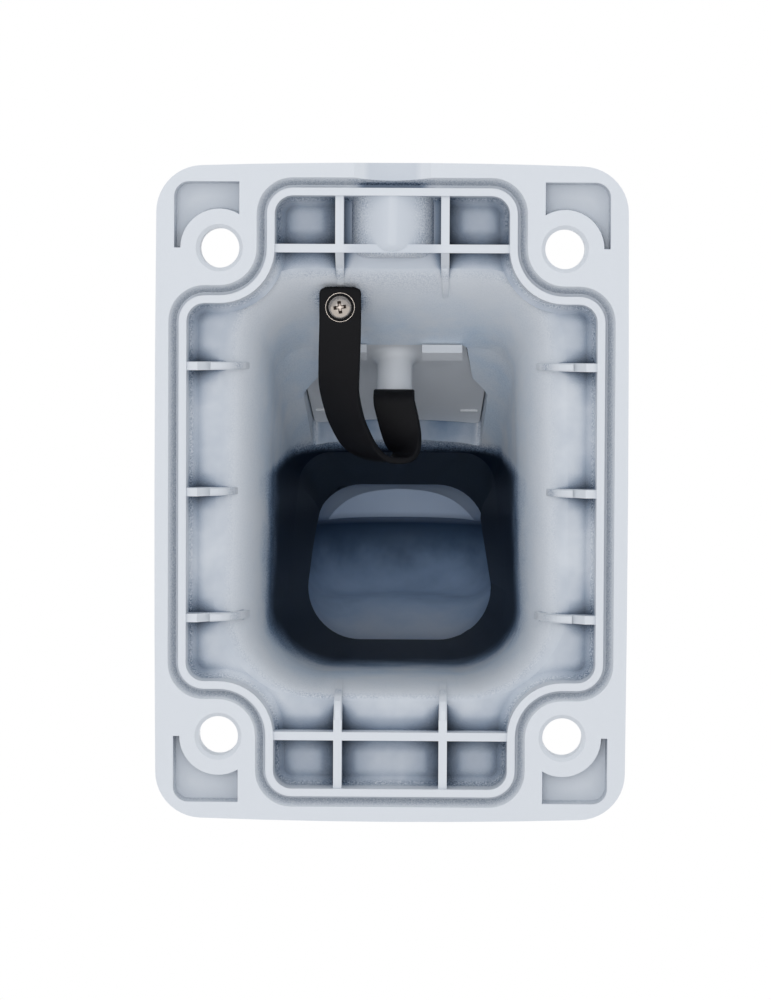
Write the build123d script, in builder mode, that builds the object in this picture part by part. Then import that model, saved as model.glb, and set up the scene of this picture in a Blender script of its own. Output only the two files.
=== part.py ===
from build123d import *
import os
from math import cos, radians, sin, sqrt, tan

# Camera wall bracket, in millimetres and in its position of use.
# The wall is the plane Y = 0 and the bracket stands out from it along -Y.
# X runs across and Z is up. The origin is the middle of the bolt pattern on the wall.
# A depth is a distance from the wall.

# Wall plate
plate_width = 112.0
plate_height = 156.0
plate_thickness = 12.0
plate_corner_radius = 11.0
plate_front_round = 2.5
plate_side_bow = 0.4
plate_end_bow = 1.1

# Wall bolts
bolt_edge_x = 15.2
bolt_edge_z = 20.15
bolt_hole_diameter = 9.4
bolt_hole_chamfer = 0.9
bolt_seat_diameter = 18.0
bolt_grip = 7.5
bolt_land_radius = 8.8

# Gasket groove, inner rim and back recess
flange_width = 3.2
groove_width = 2.4
groove_floor_width = 0.7
groove_depth = 3.5
rim_thickness = 1.8
rim_setback = 0.5
rim_end_setback = 0.3
rim_corner_radius = 5.3
recess_depth = 8.5
recess_draft = 0.4
recess_floor_round = 2.0
scoop_radius = 30.0
scoop_depth = 1.4

# Lightening pockets in the four corners
pocket_edge_wall = 4.5
pocket_inner_wall = 4.1
pocket_depth = 5.0
pocket_corner_radius = 3.6
pocket_draft_angle = 4.0
pocket_leg_width = 1.5

# Ribs in the back recess
rib_thickness = 2.0
rib_spacing_x = 25.0
rib_crest_depth = 1.5
side_rib_pitch = 29.9
side_rib_end_depth = 14.0
end_rib_end_depth = 17.0
rib_slope_start = 4.0
rib_root = 1.5
hump_radius = 10.0
hump_length = 15.5
hump_crest_depth = 0.8
hump_end_round = 3.5

# Hollow arm
throat_depth = 38.0
throat_half_width = 30.0
throat_floor_z = -34.0
throat_side_lean = 1.0
arm_roof_z = 45.0
mouth_inset_x = 7.5
flare_roof = 5.0
flare_floor = 4.5
flare_floor_corner = 12.0
flare_roof_corner = 10.0
floor_slope_at_mouth = 0.5
arm_wall = 4.0
inner_floor_corner = 8.5
inner_roof_corner = 15.0
outer_floor_corner = 12.5
outer_roof_corner = 19.0
root_sink = 1.0
root_flare_side = 8.0
root_flare_roof = 5.0
root_flare_floor = 3.0
root_flare_corner = 8.0
window_depth = 130.0
window_floor_z = 3.5
window_half_width = 23.7
window_side_lean = 4.6
nose_step = 0.8
nose_half_width = 27.5
nose_side_lean = 1.0
nose_roof_drop = 9.5
nose_floor_z = 14.5
nose_underside_z = 8.0
nose_floor_corner = 5.0
nose_roof_corner = 10.0
nose_corner_loss = 5.0

# Threaded collar, a 1 1/2 inch parallel pipe thread
collar_depth = 156.0
collar_bore_radius = 20.0
thread_major_radius = 23.9
thread_relief_radius = 22.3
thread_relief_length = 2.5
thread_chamfer = 1.4
collar_shoulder_radius = 26.0
collar_shoulder_z = -4.0
collar_shoulder_chamfer = 0.8
collar_root_height = 23.0
collar_bore_reach = 20.0
thread_length = 20.0

# Service hatch, laid out on a plane that slopes with the arm's underside
hatch_slope = 26.0
hatch_far_depth = 82.0
hatch_floor_far_z = -6.8
hatch_seat_drop = 3.8
hatch_tongue_half_width = 17.6
hatch_tongue_flare = 1.6
hatch_shoulder_half_width = 23.0
hatch_far_half_width = 21.3
hatch_tongue_share = 0.33
hatch_shoulder_share = 0.46
hatch_far_bow = 2.4
hatch_corner_radius = 2.0
hatch_clearance = 0.4
cover_overlap = 6.0
cover_thickness = 2.5
cover_plug_height = 2.5
cover_edge_round = 1.2
seat_margin = 1.6
seat_height = 12.0
seat_clearing = 8.0
hatch_cut_depth = 16.0
gasket_thickness = 1.0
gasket_width = 4.0
gasket_inset = 0.6
hook_offset_x = 11.7
hook_width = 9.8
hook_thickness = 2.2
hook_reach = 0.9
hook_root = 3.2
hook_clearance = 0.3
pip_offset_x = 18.3
pip_width = 4.3
pip_thickness = 0.6
pip_height = 0.5
pip_setback = 8.7

# Cover screw at the far end
cover_screw_shank = 4.0
cover_screw_head = 8.0
cover_screw_head_height = 2.6
cover_screw_grip_in_casting = 3.9
cover_screw_setback = 9.2
cover_tab_radius = 6.5
screw_hole_clearance = 0.5
tapped_hole_clearance = 0.05
tapped_hole_spare = 0.5

# Peg on the cover
peg_diameter = 8.6
peg_length = 11.0
peg_place = 9.0
peg_root_round = 2.4

# Tether strap and its two fixings
strap_width = 10.0
strap_thickness = 1.6
strap_corner_radius = 1.5
strap_tab_length = 9.8
strap_boss_x = -12.55
strap_boss_z = -43.9
strap_boss_face_depth = 12.5
strap_boss_radius = 4.8
peg_tab_near = 4.6
peg_tab_far = 5.4
strap_bend_radius = 2.2
tether_screw_shank = 3.0
tether_screw_head = 5.6
tether_screw_head_height = 2.2
tether_screw_thread = 6.0
washer_diameter = 7.0
washer_thickness = 0.5
washer_chamfer = 0.2

# Screw heads and points, as shares of the head's or the shank's size
crown_chamfer_share = 0.45
recess_length_share = 0.56
recess_width_share = 0.15
recess_depth_share = 0.65
point_chamfer_share = 0.12

# Values that follow from the ones above
bolt_spacing_x = plate_width - 2 * bolt_edge_x
bolt_spacing_z = plate_height - 2 * bolt_edge_z
rim_run_x = plate_width / 2 - flange_width - groove_width - rim_thickness / 2
rim_run_z = plate_height / 2 - flange_width - groove_width - rim_thickness / 2 - rim_end_setback
rim_bend_radius = bolt_land_radius + groove_width + rim_thickness / 2
rim_neck_x = bolt_spacing_x / 2 - rim_bend_radius
rim_shoulder_z = bolt_spacing_z / 2 - rim_bend_radius
groove_outer = rim_thickness / 2 + groove_width
flare_side = rim_run_x - throat_half_width - mouth_inset_x
hatch_length = (hatch_far_depth - throat_depth) / cos(radians(hatch_slope))
cover_outer_z = gasket_thickness + cover_thickness
outside_floor_z = window_floor_z - arm_wall

# Where the sections of the lofts lie, as shares of each stretch
throat_steps = (0.0, 0.024, 0.085, 0.2, 0.39, 0.66, 1.0)
root_steps = (0.0, 0.055, 0.15, 0.33, 0.63, 1.0)
nose_steps = (0.0, 0.33, 0.67, 1.0)
nose_depths = [window_depth + step * (collar_depth - window_depth) for step in nose_steps]


def wall_plane(depth):
    """The plane parallel to the wall at a depth, with X across and Z up."""
    return Plane.XZ.offset(depth)


def flare(depth, end_depth, start_depth):
    """Quarter of an ellipse: 0 at the flare's end and 1 at its start, where it lies flat."""
    share = (end_depth - depth) / (end_depth - start_depth)
    return 1 - sqrt(max(0.0, 1 - share * share))


def stepped_outline(depth, grow):
    """The rim's centreline, grown: it steps round each bolt boss in one concave sweep."""
    run_x = rim_run_x + grow
    run_z = rim_run_z + grow
    neck_x = rim_neck_x + grow
    shoulder_z = rim_shoulder_z + grow
    corner = rim_corner_radius + grow
    sweep = rim_bend_radius - grow
    bolt_x = bolt_spacing_x / 2
    bolt_z = bolt_spacing_z / 2
    diagonal = sweep * sqrt(0.5)
    with BuildSketch(wall_plane(depth)) as outline:
        with BuildLine():
            Line((0, run_z), (neck_x - corner, run_z))
            RadiusArc((neck_x - corner, run_z), (neck_x, run_z - corner), corner)
            Line((neck_x, run_z - corner), (neck_x, bolt_z))
            ThreePointArc((neck_x, bolt_z), (bolt_x - diagonal, bolt_z - diagonal), (bolt_x, shoulder_z))
            Line((bolt_x, shoulder_z), (run_x - corner, shoulder_z))
            RadiusArc((run_x - corner, shoulder_z), (run_x, shoulder_z - corner), corner)
            Line((run_x, shoulder_z - corner), (run_x, 0))
            mirror(about=Plane.XZ)
            mirror(about=Plane.YZ)
        make_face()
    return outline.sketch


def arm_section(depth, half_low, half_high, z_low, z_high, r_low, r_high):
    """One section of the arm: a trapezoid with round corners, wider at the top."""
    with BuildSketch(wall_plane(depth)) as section:
        with BuildLine():
            Polyline((-half_low, z_low), (half_low, z_low), (half_high, z_high), (-half_high, z_high), close=True)
        make_face()
        fillet(section.vertices().group_by(Axis.Y)[0], radius=r_low)
        fillet(section.vertices().group_by(Axis.Y)[-1], radius=r_high)
    return section.sketch


def floor_z(depth):
    """Height of the arm's inner floor: steep under the hatch, gentle beyond it."""
    if depth <= throat_depth:
        return throat_floor_z - floor_slope_at_mouth * (throat_depth - depth)
    if depth <= hatch_far_depth:
        share = (depth - throat_depth) / (hatch_far_depth - throat_depth)
        return throat_floor_z + share * (hatch_floor_far_z - throat_floor_z)
    share = (depth - hatch_far_depth) / (window_depth - hatch_far_depth)
    return hatch_floor_far_z + share * (window_floor_z - hatch_floor_far_z)


def seat_z(depth):
    """Height of the plane on which the hatch cover seats."""
    return throat_floor_z - hatch_seat_drop + (depth - throat_depth) * tan(radians(hatch_slope))


def underside_z(depth):
    """Height of the arm's underside: the hatch's slope, then straight to the window's outer floor."""
    if depth <= hatch_far_depth:
        return seat_z(depth)
    share = (depth - hatch_far_depth) / (window_depth - hatch_far_depth)
    return seat_z(hatch_far_depth) + share * (outside_floor_z - seat_z(hatch_far_depth))


def half_width(depth):
    """Half the arm's inner width, between the throat and the window."""
    share = (depth - throat_depth) / (window_depth - throat_depth)
    return throat_half_width + share * (window_half_width - throat_half_width)


def lean(depth):
    """How much the arm is narrower at its floor and wider at its roof than in the middle."""
    share = (depth - throat_depth) / (window_depth - throat_depth)
    return throat_side_lean + share * (window_side_lean - throat_side_lean)


def throat_side(depth):
    """Half the throat's width at a depth."""
    return throat_half_width + flare_side * flare(depth, throat_depth, recess_depth)


def throat_low(depth):
    """Height of the throat's floor at a depth."""
    return floor_z(depth) - flare_floor * flare(depth, throat_depth, recess_depth)


def throat_high(depth):
    """Height of the throat's roof at a depth."""
    return arm_roof_z + flare_roof * flare(depth, throat_depth, recess_depth)


def ease(depth, start, end):
    """0 before the start and 1 past the end, with a smooth rise between them."""
    share = min(1.0, max(0.0, (depth - start) / (end - start)))
    return share * share * (3 - 2 * share)


def nose_section(depth, wall, step, start_z, end_z, corner):
    """One section between the window and the collar's axis, where the nose is widest.

    Its floor goes from start_z to end_z. Its wall is 0 for the inside, which widens by a step
    at the window, so that the window keeps an edge.
    """
    share = ease(depth, window_depth, collar_depth)
    start_half = window_half_width + step
    middle = start_half + share * (nose_half_width - start_half) + wall
    side_lean = window_side_lean + share * (nose_side_lean - window_side_lean)
    low = start_z + share * (end_z - start_z)
    high = arm_roof_z + wall - share * nose_roof_drop
    roof_corner = nose_roof_corner + nose_corner_loss * (1 - share) + wall
    return arm_section(depth, middle - side_lean, middle + side_lean, low, high, corner, roof_corner)


def round_end(section):
    """Half a turn of a section about the collar's axis, which closes the nose."""
    with BuildPart(mode=Mode.PRIVATE) as end:
        with BuildSketch(wall_plane(collar_depth)) as half:
            add(wall_plane(collar_depth).to_local_coords(section))
            with Locations((-plate_width / 2, 0)):
                Rectangle(plate_width, 2 * plate_height, mode=Mode.SUBTRACT)
        revolve(axis=Axis((0, -collar_depth, 0), (0, 0, -1)), revolution_arc=180)
    return end.part


# Core that leaves the horn-shaped throat, the hollow arm and the inside of the nose
with BuildPart() as throat_core:
    sections = []
    for step in throat_steps:
        depth = recess_depth + step * (throat_depth - recess_depth)
        f = flare(depth, throat_depth, recess_depth)
        low_half = throat_side(depth) - throat_side_lean
        high_half = throat_side(depth) + throat_side_lean
        low_corner = inner_floor_corner + flare_floor_corner * f
        high_corner = inner_roof_corner + flare_roof_corner * f
        sections += [
            arm_section(depth, low_half, high_half, throat_low(depth), throat_high(depth), low_corner, high_corner)
        ]
    loft(sections)
with BuildPart() as arm_core:
    sections = []
    for depth in (throat_depth, hatch_far_depth, window_depth):
        low_half = half_width(depth) - lean(depth)
        high_half = half_width(depth) + lean(depth)
        low = floor_z(depth)
        sections += [arm_section(depth, low_half, high_half, low, arm_roof_z, inner_floor_corner, inner_roof_corner)]
    loft(sections, ruled=True)
with BuildPart() as nose_core:
    sections = []
    for depth in nose_depths:
        sections += [nose_section(depth, 0, nose_step, window_floor_z, nose_floor_z, nose_floor_corner)]
    loft(sections)
    add(round_end(sections[-1]))

# Outside of the arm: a flare at the plate, a straight tapering stretch and the round nose
arm_root_depth = plate_thickness - root_sink


def outside_section(depth):
    """One section of the arm's outside, between the plate and the window."""
    f = flare(min(depth, throat_depth), throat_depth, arm_root_depth)
    arm_depth = max(depth, throat_depth)
    low_half = half_width(arm_depth) - lean(arm_depth) + arm_wall + root_flare_side * f
    high_half = half_width(arm_depth) + lean(arm_depth) + arm_wall + root_flare_side * f
    low = underside_z(depth) - root_flare_floor * f
    high = arm_roof_z + arm_wall + root_flare_roof * f
    low_corner = outer_floor_corner + root_flare_corner * f
    high_corner = outer_roof_corner + root_flare_corner * f
    return arm_section(depth, low_half, high_half, low, high, low_corner, high_corner)


with BuildPart() as arm_outside:
    loft([outside_section(arm_root_depth + step * (throat_depth - arm_root_depth)) for step in root_steps])
    loft([outside_section(throat_depth), outside_section(hatch_far_depth)], ruled=True)
    loft([outside_section(hatch_far_depth), outside_section(window_depth)], ruled=True)
    sections = []
    for depth in nose_depths:
        sections += [nose_section(depth, arm_wall, 0, outside_floor_z, nose_underside_z, outer_floor_corner)]
    loft(sections)
    add(round_end(sections[-1]))

hatch_plane = Plane(
    origin=(0, -throat_depth, throat_floor_z - hatch_seat_drop),
    x_dir=(1, 0, 0),
    z_dir=(0, -sin(radians(hatch_slope)), -cos(radians(hatch_slope))),
)


def hatch_outline(height, grow):
    """The hatch opening's outline on its sloping plane, grown, at a height outside the seat."""
    shoulder_start = hatch_length * hatch_tongue_share
    shoulder_end = hatch_length * hatch_shoulder_share
    with BuildSketch(hatch_plane.offset(height)) as outline:
        with BuildLine():
            Polyline(
                (0, 0),
                (hatch_tongue_half_width, 0),
                (hatch_tongue_half_width + hatch_tongue_flare, shoulder_start),
                (hatch_shoulder_half_width, shoulder_end),
                (hatch_far_half_width, hatch_length),
            )
            TangentArc((0, hatch_length - hatch_far_bow), (hatch_far_half_width, hatch_length), tangent=(1, 0))
            mirror(about=Plane.YZ)
        make_face()
        fillet(outline.vertices().filter_by(lambda v: abs(v.X) > 1), radius=hatch_corner_radius)
        if grow:
            offset(amount=grow, kind=Kind.ARC, mode=Mode.REPLACE)
    return outline.sketch


def cover_tab(height, grow):
    """The round tab at the cover's far end, through which its screw passes."""
    with BuildSketch(hatch_plane.offset(height)) as tab:
        with Locations((0, hatch_length + cover_screw_setback)):
            Circle(cover_tab_radius + grow)
    return tab.sketch


def rib_profile(run, reach, end_depth):
    """A rib's side, as (distance from the middle, depth): a level crest, then a slope into the throat."""
    mouth = abs(reach(recess_depth))
    end = abs(reach(end_depth))
    return [
        (run, rib_crest_depth),
        (mouth + rib_slope_start, rib_crest_depth),
        (end, end_depth),
        (end + rib_root, end_depth),
        (mouth + rib_root, recess_depth + rib_root),
        (run, recess_depth + rib_root),
    ]


# Core of the gasket groove, whose outer wall slopes in towards the rim
with BuildPart() as groove_core:
    groove_top = stepped_outline(0, groove_outer)
    groove_floor = stepped_outline(groove_depth, rim_thickness / 2 + groove_floor_width)
    loft([groove_top, groove_floor], ruled=True)
    extrude(stepped_outline(0, rim_thickness / 2), amount=groove_depth, mode=Mode.SUBTRACT)

# Core of the recess inside the rim, with a little draft and a round foot
with BuildPart() as recess_core:
    recess_top = stepped_outline(0, -rim_thickness / 2)
    recess_floor = stepped_outline(recess_depth, -rim_thickness / 2 - recess_draft)
    loft([recess_top, recess_floor], ruled=True)
    fillet(recess_core.faces().sort_by(Axis.Y)[0].edges(), radius=recess_floor_round)

# Core of the four corner pockets, each a rectangle that the bolt boss bites into
with BuildPart() as pocket_core:
    pocket_out_x = plate_width / 2 - pocket_edge_wall
    pocket_out_z = plate_height / 2 - pocket_edge_wall
    pocket_in_x = rim_neck_x + groove_outer + pocket_inner_wall
    pocket_low_z = bolt_spacing_z / 2
    with BuildSketch(wall_plane(0)) as pocket:
        with Locations(((pocket_in_x + pocket_out_x) / 2, (pocket_low_z + pocket_out_z) / 2)):
            Rectangle(pocket_out_x - pocket_in_x, pocket_out_z - pocket_low_z)
        fillet(pocket.vertices().group_by(Axis.X)[-1].sort_by(Axis.Y)[-1], radius=pocket_corner_radius)
        with Locations((bolt_spacing_x / 2, bolt_spacing_z / 2)):
            Circle(pocket_out_x - pocket_leg_width - bolt_spacing_x / 2, mode=Mode.SUBTRACT)
    extrude(amount=pocket_depth, taper=pocket_draft_angle)
    mirror(about=Plane.XY)
    mirror(about=Plane.YZ)

# Cast hump that runs in from the lower edge of the recess, flush with the rim
with BuildPart() as hump:
    with BuildSketch(Plane.XY.offset(-rim_run_z)) as hump_section:
        with Locations((0, -hump_crest_depth - hump_radius)):
            Circle(hump_radius)
        with Locations((0, -(recess_depth + rib_root) / 2)):
            Rectangle(4 * hump_radius, recess_depth + rib_root, mode=Mode.INTERSECT)
    extrude(amount=hump_length)
    fillet(hump.edges().group_by(Axis.Z)[-1].filter_by(GeomType.CIRCLE), radius=hump_end_round)

# Boss for the strap's screw, trimmed to the outside of the horn
with BuildPart() as strap_boss:
    with BuildSketch(wall_plane(strap_boss_face_depth)):
        with Locations((strap_boss_x, strap_boss_z)):
            Circle(strap_boss_radius)
    extrude(amount=throat_depth - strap_boss_face_depth)
    add(arm_outside.part, mode=Mode.INTERSECT)

# The die casting: plate, horn, arm, nose and collar in one piece
collar_axis = Axis((0, -collar_depth, 0), (0, 0, 1))
collar_end_z = collar_shoulder_z - thread_length
collar_root_z = collar_shoulder_z + collar_root_height
with BuildPart() as bracket_casting:
    with BuildSketch(wall_plane(0)) as plate_outline:
        edge_x = plate_width / 2 - plate_side_bow
        edge_z = plate_height / 2 - plate_end_bow
        with BuildLine():
            ThreePointArc((-edge_x, edge_z), (0, plate_height / 2), (edge_x, edge_z))
            ThreePointArc((edge_x, edge_z), (plate_width / 2, 0), (edge_x, -edge_z))
            ThreePointArc((edge_x, -edge_z), (0, -plate_height / 2), (-edge_x, -edge_z))
            ThreePointArc((-edge_x, -edge_z), (-plate_width / 2, 0), (-edge_x, edge_z))
        make_face()
        fillet(plate_outline.vertices(), radius=plate_corner_radius)
    extrude(amount=plate_thickness)
    fillet(bracket_casting.faces().sort_by(Axis.Y)[0].edges(), radius=plate_front_round)
    add(arm_outside.part)

    # Raised seat round the hatch, with an ear for the cover's screw
    extrude(hatch_outline(0, cover_overlap + seat_margin), amount=-seat_height)
    extrude(cover_tab(0, seat_margin), amount=-seat_height / 2)

    # Collar with its shoulder and the blank for the thread
    with BuildSketch(Plane.YZ):
        with BuildLine():
            Polyline(
                (-collar_depth, collar_root_z),
                (-collar_depth + collar_shoulder_radius, collar_root_z),
                (-collar_depth + collar_shoulder_radius, collar_shoulder_z + collar_shoulder_chamfer),
                (-collar_depth + collar_shoulder_radius - collar_shoulder_chamfer, collar_shoulder_z),
                (-collar_depth + thread_relief_radius, collar_shoulder_z),
                (-collar_depth + thread_relief_radius, collar_shoulder_z - thread_relief_length),
                (-collar_depth + thread_major_radius, collar_shoulder_z - thread_relief_length - thread_chamfer),
                (-collar_depth + thread_major_radius, collar_end_z + thread_chamfer),
                (-collar_depth + thread_major_radius - thread_chamfer, collar_end_z),
                (-collar_depth, collar_end_z),
                close=True,
            )
        make_face()
    revolve(axis=collar_axis)

    # Hollow inside, from the mouth in the plate to the collar's bore
    add(throat_core.part, mode=Mode.SUBTRACT)
    add(arm_core.part, mode=Mode.SUBTRACT)
    add(nose_core.part, mode=Mode.SUBTRACT)
    with BuildSketch(Plane.XY.offset(collar_end_z)):
        with Locations((0, -collar_depth)):
            Circle(collar_bore_radius)
    extrude(amount=thread_length + collar_bore_reach, mode=Mode.SUBTRACT)

    # Back of the plate: groove, set-back rim, recess and corner pockets
    add(groove_core.part, mode=Mode.SUBTRACT)
    extrude(stepped_outline(0, rim_thickness / 2), amount=rim_setback, mode=Mode.SUBTRACT)
    add(recess_core.part, mode=Mode.SUBTRACT)
    add(pocket_core.part, mode=Mode.SUBTRACT)

    # Shallow scoop across the lower flange
    scoop_run = plate_height / 2 - rim_run_z - rim_thickness / 2
    with BuildSketch(Plane.XY.offset(-plate_height / 2)):
        with Locations((0, scoop_radius - scoop_depth)):
            Circle(scoop_radius)
    extrude(amount=scoop_run, mode=Mode.SUBTRACT)

    # Ribs: one across each end, two along each end, three on each side
    for side in (-1, 1):
        with BuildSketch(wall_plane(rib_crest_depth)):
            with Locations((0, side * bolt_spacing_z / 2)):
                Rectangle(2 * (rim_neck_x - rim_thickness / 4), rib_thickness)
        extrude(amount=recess_depth + rib_root - rib_crest_depth)
    for end, reach in ((-1, throat_low), (1, throat_high)):
        profile = rib_profile(rim_run_z, reach, end_rib_end_depth)
        for side in (-1, 1):
            with BuildSketch(Plane.YZ.offset(side * rib_spacing_x / 2)):
                with BuildLine():
                    Polyline([(-depth, end * distance) for distance, depth in profile], close=True)
                make_face()
            extrude(amount=rib_thickness / 2, both=True)
    profile = rib_profile(rim_run_x, throat_side, side_rib_end_depth)
    for row in (-1, 0, 1):
        for side in (-1, 1):
            with BuildSketch(Plane.XY.offset(row * side_rib_pitch)):
                with BuildLine():
                    Polyline([(side * distance, -depth) for distance, depth in profile], close=True)
                make_face()
            extrude(amount=rib_thickness / 2, both=True)
    add(hump.part)
    add(strap_boss.part)

    # Bolt holes, chamfered at the wall and spot-faced for the bolt heads
    with BuildSketch(wall_plane(0)):
        with GridLocations(bolt_spacing_x, bolt_spacing_z, 2, 2):
            Circle(bolt_hole_diameter / 2)
    extrude(amount=plate_thickness, mode=Mode.SUBTRACT)
    with BuildSketch(wall_plane(bolt_grip)):
        with GridLocations(bolt_spacing_x, bolt_spacing_z, 2, 2):
            Circle(bolt_seat_diameter / 2)
    extrude(amount=plate_thickness - bolt_grip, mode=Mode.SUBTRACT)
    wall_face = bracket_casting.faces().sort_by(Axis.Y)[-1]
    hole_edges = wall_face.edges().filter_by(GeomType.CIRCLE)
    chamfer([edge for edge in hole_edges if abs(edge.radius - bolt_hole_diameter / 2) < 0.01], length=bolt_hole_chamfer)

    # Hatch opening, the flat round it for the gasket, and the tapped holes
    extrude(hatch_outline(cover_outer_z, 0), amount=-cover_outer_z - hatch_cut_depth, mode=Mode.SUBTRACT)
    extrude(hatch_outline(0, cover_overlap + hatch_clearance), amount=seat_clearing, mode=Mode.SUBTRACT)
    extrude(cover_tab(0, hatch_clearance), amount=seat_clearing, mode=Mode.SUBTRACT)
    with BuildSketch(hatch_plane):
        with Locations((0, hatch_length + cover_screw_setback)):
            Circle(cover_screw_shank / 2 + tapped_hole_clearance)
    extrude(amount=-cover_screw_grip_in_casting - tapped_hole_spare, mode=Mode.SUBTRACT)
    with BuildSketch(wall_plane(strap_boss_face_depth)):
        with Locations((strap_boss_x, strap_boss_z)):
            Circle(tether_screw_shank / 2 + tapped_hole_clearance)
    extrude(amount=tether_screw_thread + tapped_hole_spare, mode=Mode.SUBTRACT)

# Hatch cover: outside plate with its screw ear, plug, two hooks, two pips and the peg
hook_under_z = -(hatch_seat_drop * cos(radians(hatch_slope)) + hook_clearance)
hook_top_z = hook_under_z - hook_thickness
peg_end_z = -cover_plug_height - peg_length
cover_screw_y = hatch_length + cover_screw_setback
with BuildPart() as hatch_cover:
    extrude(hatch_outline(gasket_thickness, cover_overlap), amount=cover_thickness)
    extrude(cover_tab(gasket_thickness, 0), amount=cover_thickness)
    outside = hatch_cover.faces().sort_by(Axis(hatch_plane.origin, hatch_plane.z_dir))[-1]
    fillet(outside.outer_wire().edges(), radius=cover_edge_round)
    extrude(hatch_outline(gasket_thickness, -hatch_clearance), amount=-gasket_thickness - cover_plug_height)

    # Spacer under the ear, which stops the cover at the gasket's right squeeze
    with BuildSketch(hatch_plane):
        with Locations((0, cover_screw_y)):
            Circle(cover_tab_radius)
        with Locations((0, hatch_length + cover_overlap - cover_tab_radius)):
            Rectangle(4 * cover_tab_radius, 2 * cover_tab_radius, mode=Mode.SUBTRACT)
    extrude(amount=gasket_thickness)

    # Hooks that reach over the casting's inner edge
    hook_root_y = hatch_clearance + hook_root
    with BuildSketch(hatch_plane.offset(-cover_plug_height)):
        with Locations(*[(side * hook_offset_x, (hatch_clearance + hook_root_y) / 2) for side in (-1, 1)]):
            Rectangle(hook_width, hook_root_y - hatch_clearance)
    extrude(amount=hook_top_z + cover_plug_height)
    with BuildSketch(hatch_plane.offset(hook_under_z)):
        with Locations(*[(side * hook_offset_x, (hook_root_y - hook_reach) / 2) for side in (-1, 1)]):
            Rectangle(hook_width, hook_root_y + hook_reach)
    extrude(amount=-hook_thickness)

    # Pips near the far corners
    with BuildSketch(hatch_plane.offset(-cover_plug_height)):
        with Locations(*[(side * pip_offset_x, hatch_length - pip_setback) for side in (-1, 1)]):
            Rectangle(pip_width, pip_thickness)
    extrude(amount=-pip_height)

    # Peg with a round root and the hole for the strap's screw
    with BuildSketch(hatch_plane.offset(-cover_plug_height)) as peg_section:
        with Locations((0, peg_place)):
            Circle(peg_diameter / 2)
    extrude(amount=-peg_length)
    root = hatch_cover.edges().filter_by(GeomType.CIRCLE)
    root = [edge for edge in root if abs(edge.radius - peg_diameter / 2) < 0.01]
    root = sorted(root, key=lambda edge: edge.center().Z)[0]
    fillet(root, radius=peg_root_round)
    with BuildSketch(hatch_plane.offset(peg_end_z)):
        with Locations((0, peg_place)):
            Circle(tether_screw_shank / 2 + tapped_hole_clearance)
    extrude(amount=tether_screw_thread + tapped_hole_spare, mode=Mode.SUBTRACT)
    with BuildSketch(hatch_plane.offset(cover_outer_z)):
        with Locations((0, cover_screw_y)):
            Circle((cover_screw_shank + screw_hole_clearance) / 2)
    extrude(amount=-cover_outer_z, mode=Mode.SUBTRACT)

# Flat gasket between the cover and its seat
with BuildPart() as hatch_gasket:
    extrude(hatch_outline(0, cover_overlap - gasket_inset), amount=gasket_thickness)
    inner_edge = hatch_outline(0, cover_overlap - gasket_inset - gasket_width)
    extrude(inner_edge, amount=gasket_thickness, mode=Mode.SUBTRACT)


def pan_screw(seat, shank, length, head, head_height):
    """A pan-head screw with a cross recess: its head stands on the seat plane, its shank goes below."""
    with BuildPart() as screw:
        with BuildSketch(seat):
            Circle(head / 2)
        extrude(amount=head_height)
        crown = screw.faces().sort_by(Axis(seat.origin, seat.z_dir))[-1]
        chamfer(crown.edges(), length=head_height * crown_chamfer_share)
        with BuildSketch(seat):
            Circle(shank / 2)
        extrude(amount=-length)
        point = screw.faces().sort_by(Axis(seat.origin, seat.z_dir))[0]
        chamfer(point.edges(), length=shank * point_chamfer_share)
        with BuildSketch(seat.offset(head_height)):
            Rectangle(head * recess_length_share, head * recess_width_share)
            Rectangle(head * recess_width_share, head * recess_length_share)
        extrude(amount=-head_height * recess_depth_share, mode=Mode.SUBTRACT)
    return screw.part


def washer(seat, hole):
    """A flat washer on the seat plane, its rim chamfered."""
    with BuildPart() as ring:
        with BuildSketch(seat):
            Circle(washer_diameter / 2)
            Circle(hole / 2, mode=Mode.SUBTRACT)
        extrude(amount=washer_thickness)
        upper = ring.faces().sort_by(Axis(seat.origin, seat.z_dir))[-1]
        rim = upper.edges().sort_by(SortBy.LENGTH)[-1]
        chamfer(rim, length=washer_chamfer)
    return ring.part


# Screws and washers: the cover's screw, then the pair at each end of the strap
strap_face_depth = strap_boss_face_depth - strap_thickness
boss_seat = Plane(origin=(strap_boss_x, -strap_face_depth, strap_boss_z), x_dir=(1, 0, 0), z_dir=(0, 1, 0))
peg_seat = Plane(
    origin=hatch_plane.from_local_coords((0, peg_place, peg_end_z - strap_thickness)),
    x_dir=(1, 0, 0),
    z_dir=-hatch_plane.z_dir,
)
cover_seat = Plane(
    origin=hatch_plane.from_local_coords((0, cover_screw_y, cover_outer_z)),
    x_dir=(1, 0, 0),
    z_dir=hatch_plane.z_dir,
)
tether_screw_length = washer_thickness + strap_thickness + tether_screw_thread
cover_screw_length = cover_outer_z + cover_screw_grip_in_casting
with BuildPart() as hatch_screw:
    add(pan_screw(cover_seat, cover_screw_shank, cover_screw_length, cover_screw_head, cover_screw_head_height))
with BuildPart() as strap_washer:
    add(washer(boss_seat, tether_screw_shank + screw_hole_clearance))
with BuildPart() as peg_washer:
    add(washer(peg_seat, tether_screw_shank + screw_hole_clearance))
with BuildPart() as strap_screw:
    seat = boss_seat.offset(washer_thickness)
    add(pan_screw(seat, tether_screw_shank, tether_screw_length, tether_screw_head, tether_screw_head_height))
with BuildPart() as peg_screw:
    seat = peg_seat.offset(washer_thickness)
    add(pan_screw(seat, tether_screw_shank, tether_screw_length, tether_screw_head, tether_screw_head_height))

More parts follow.
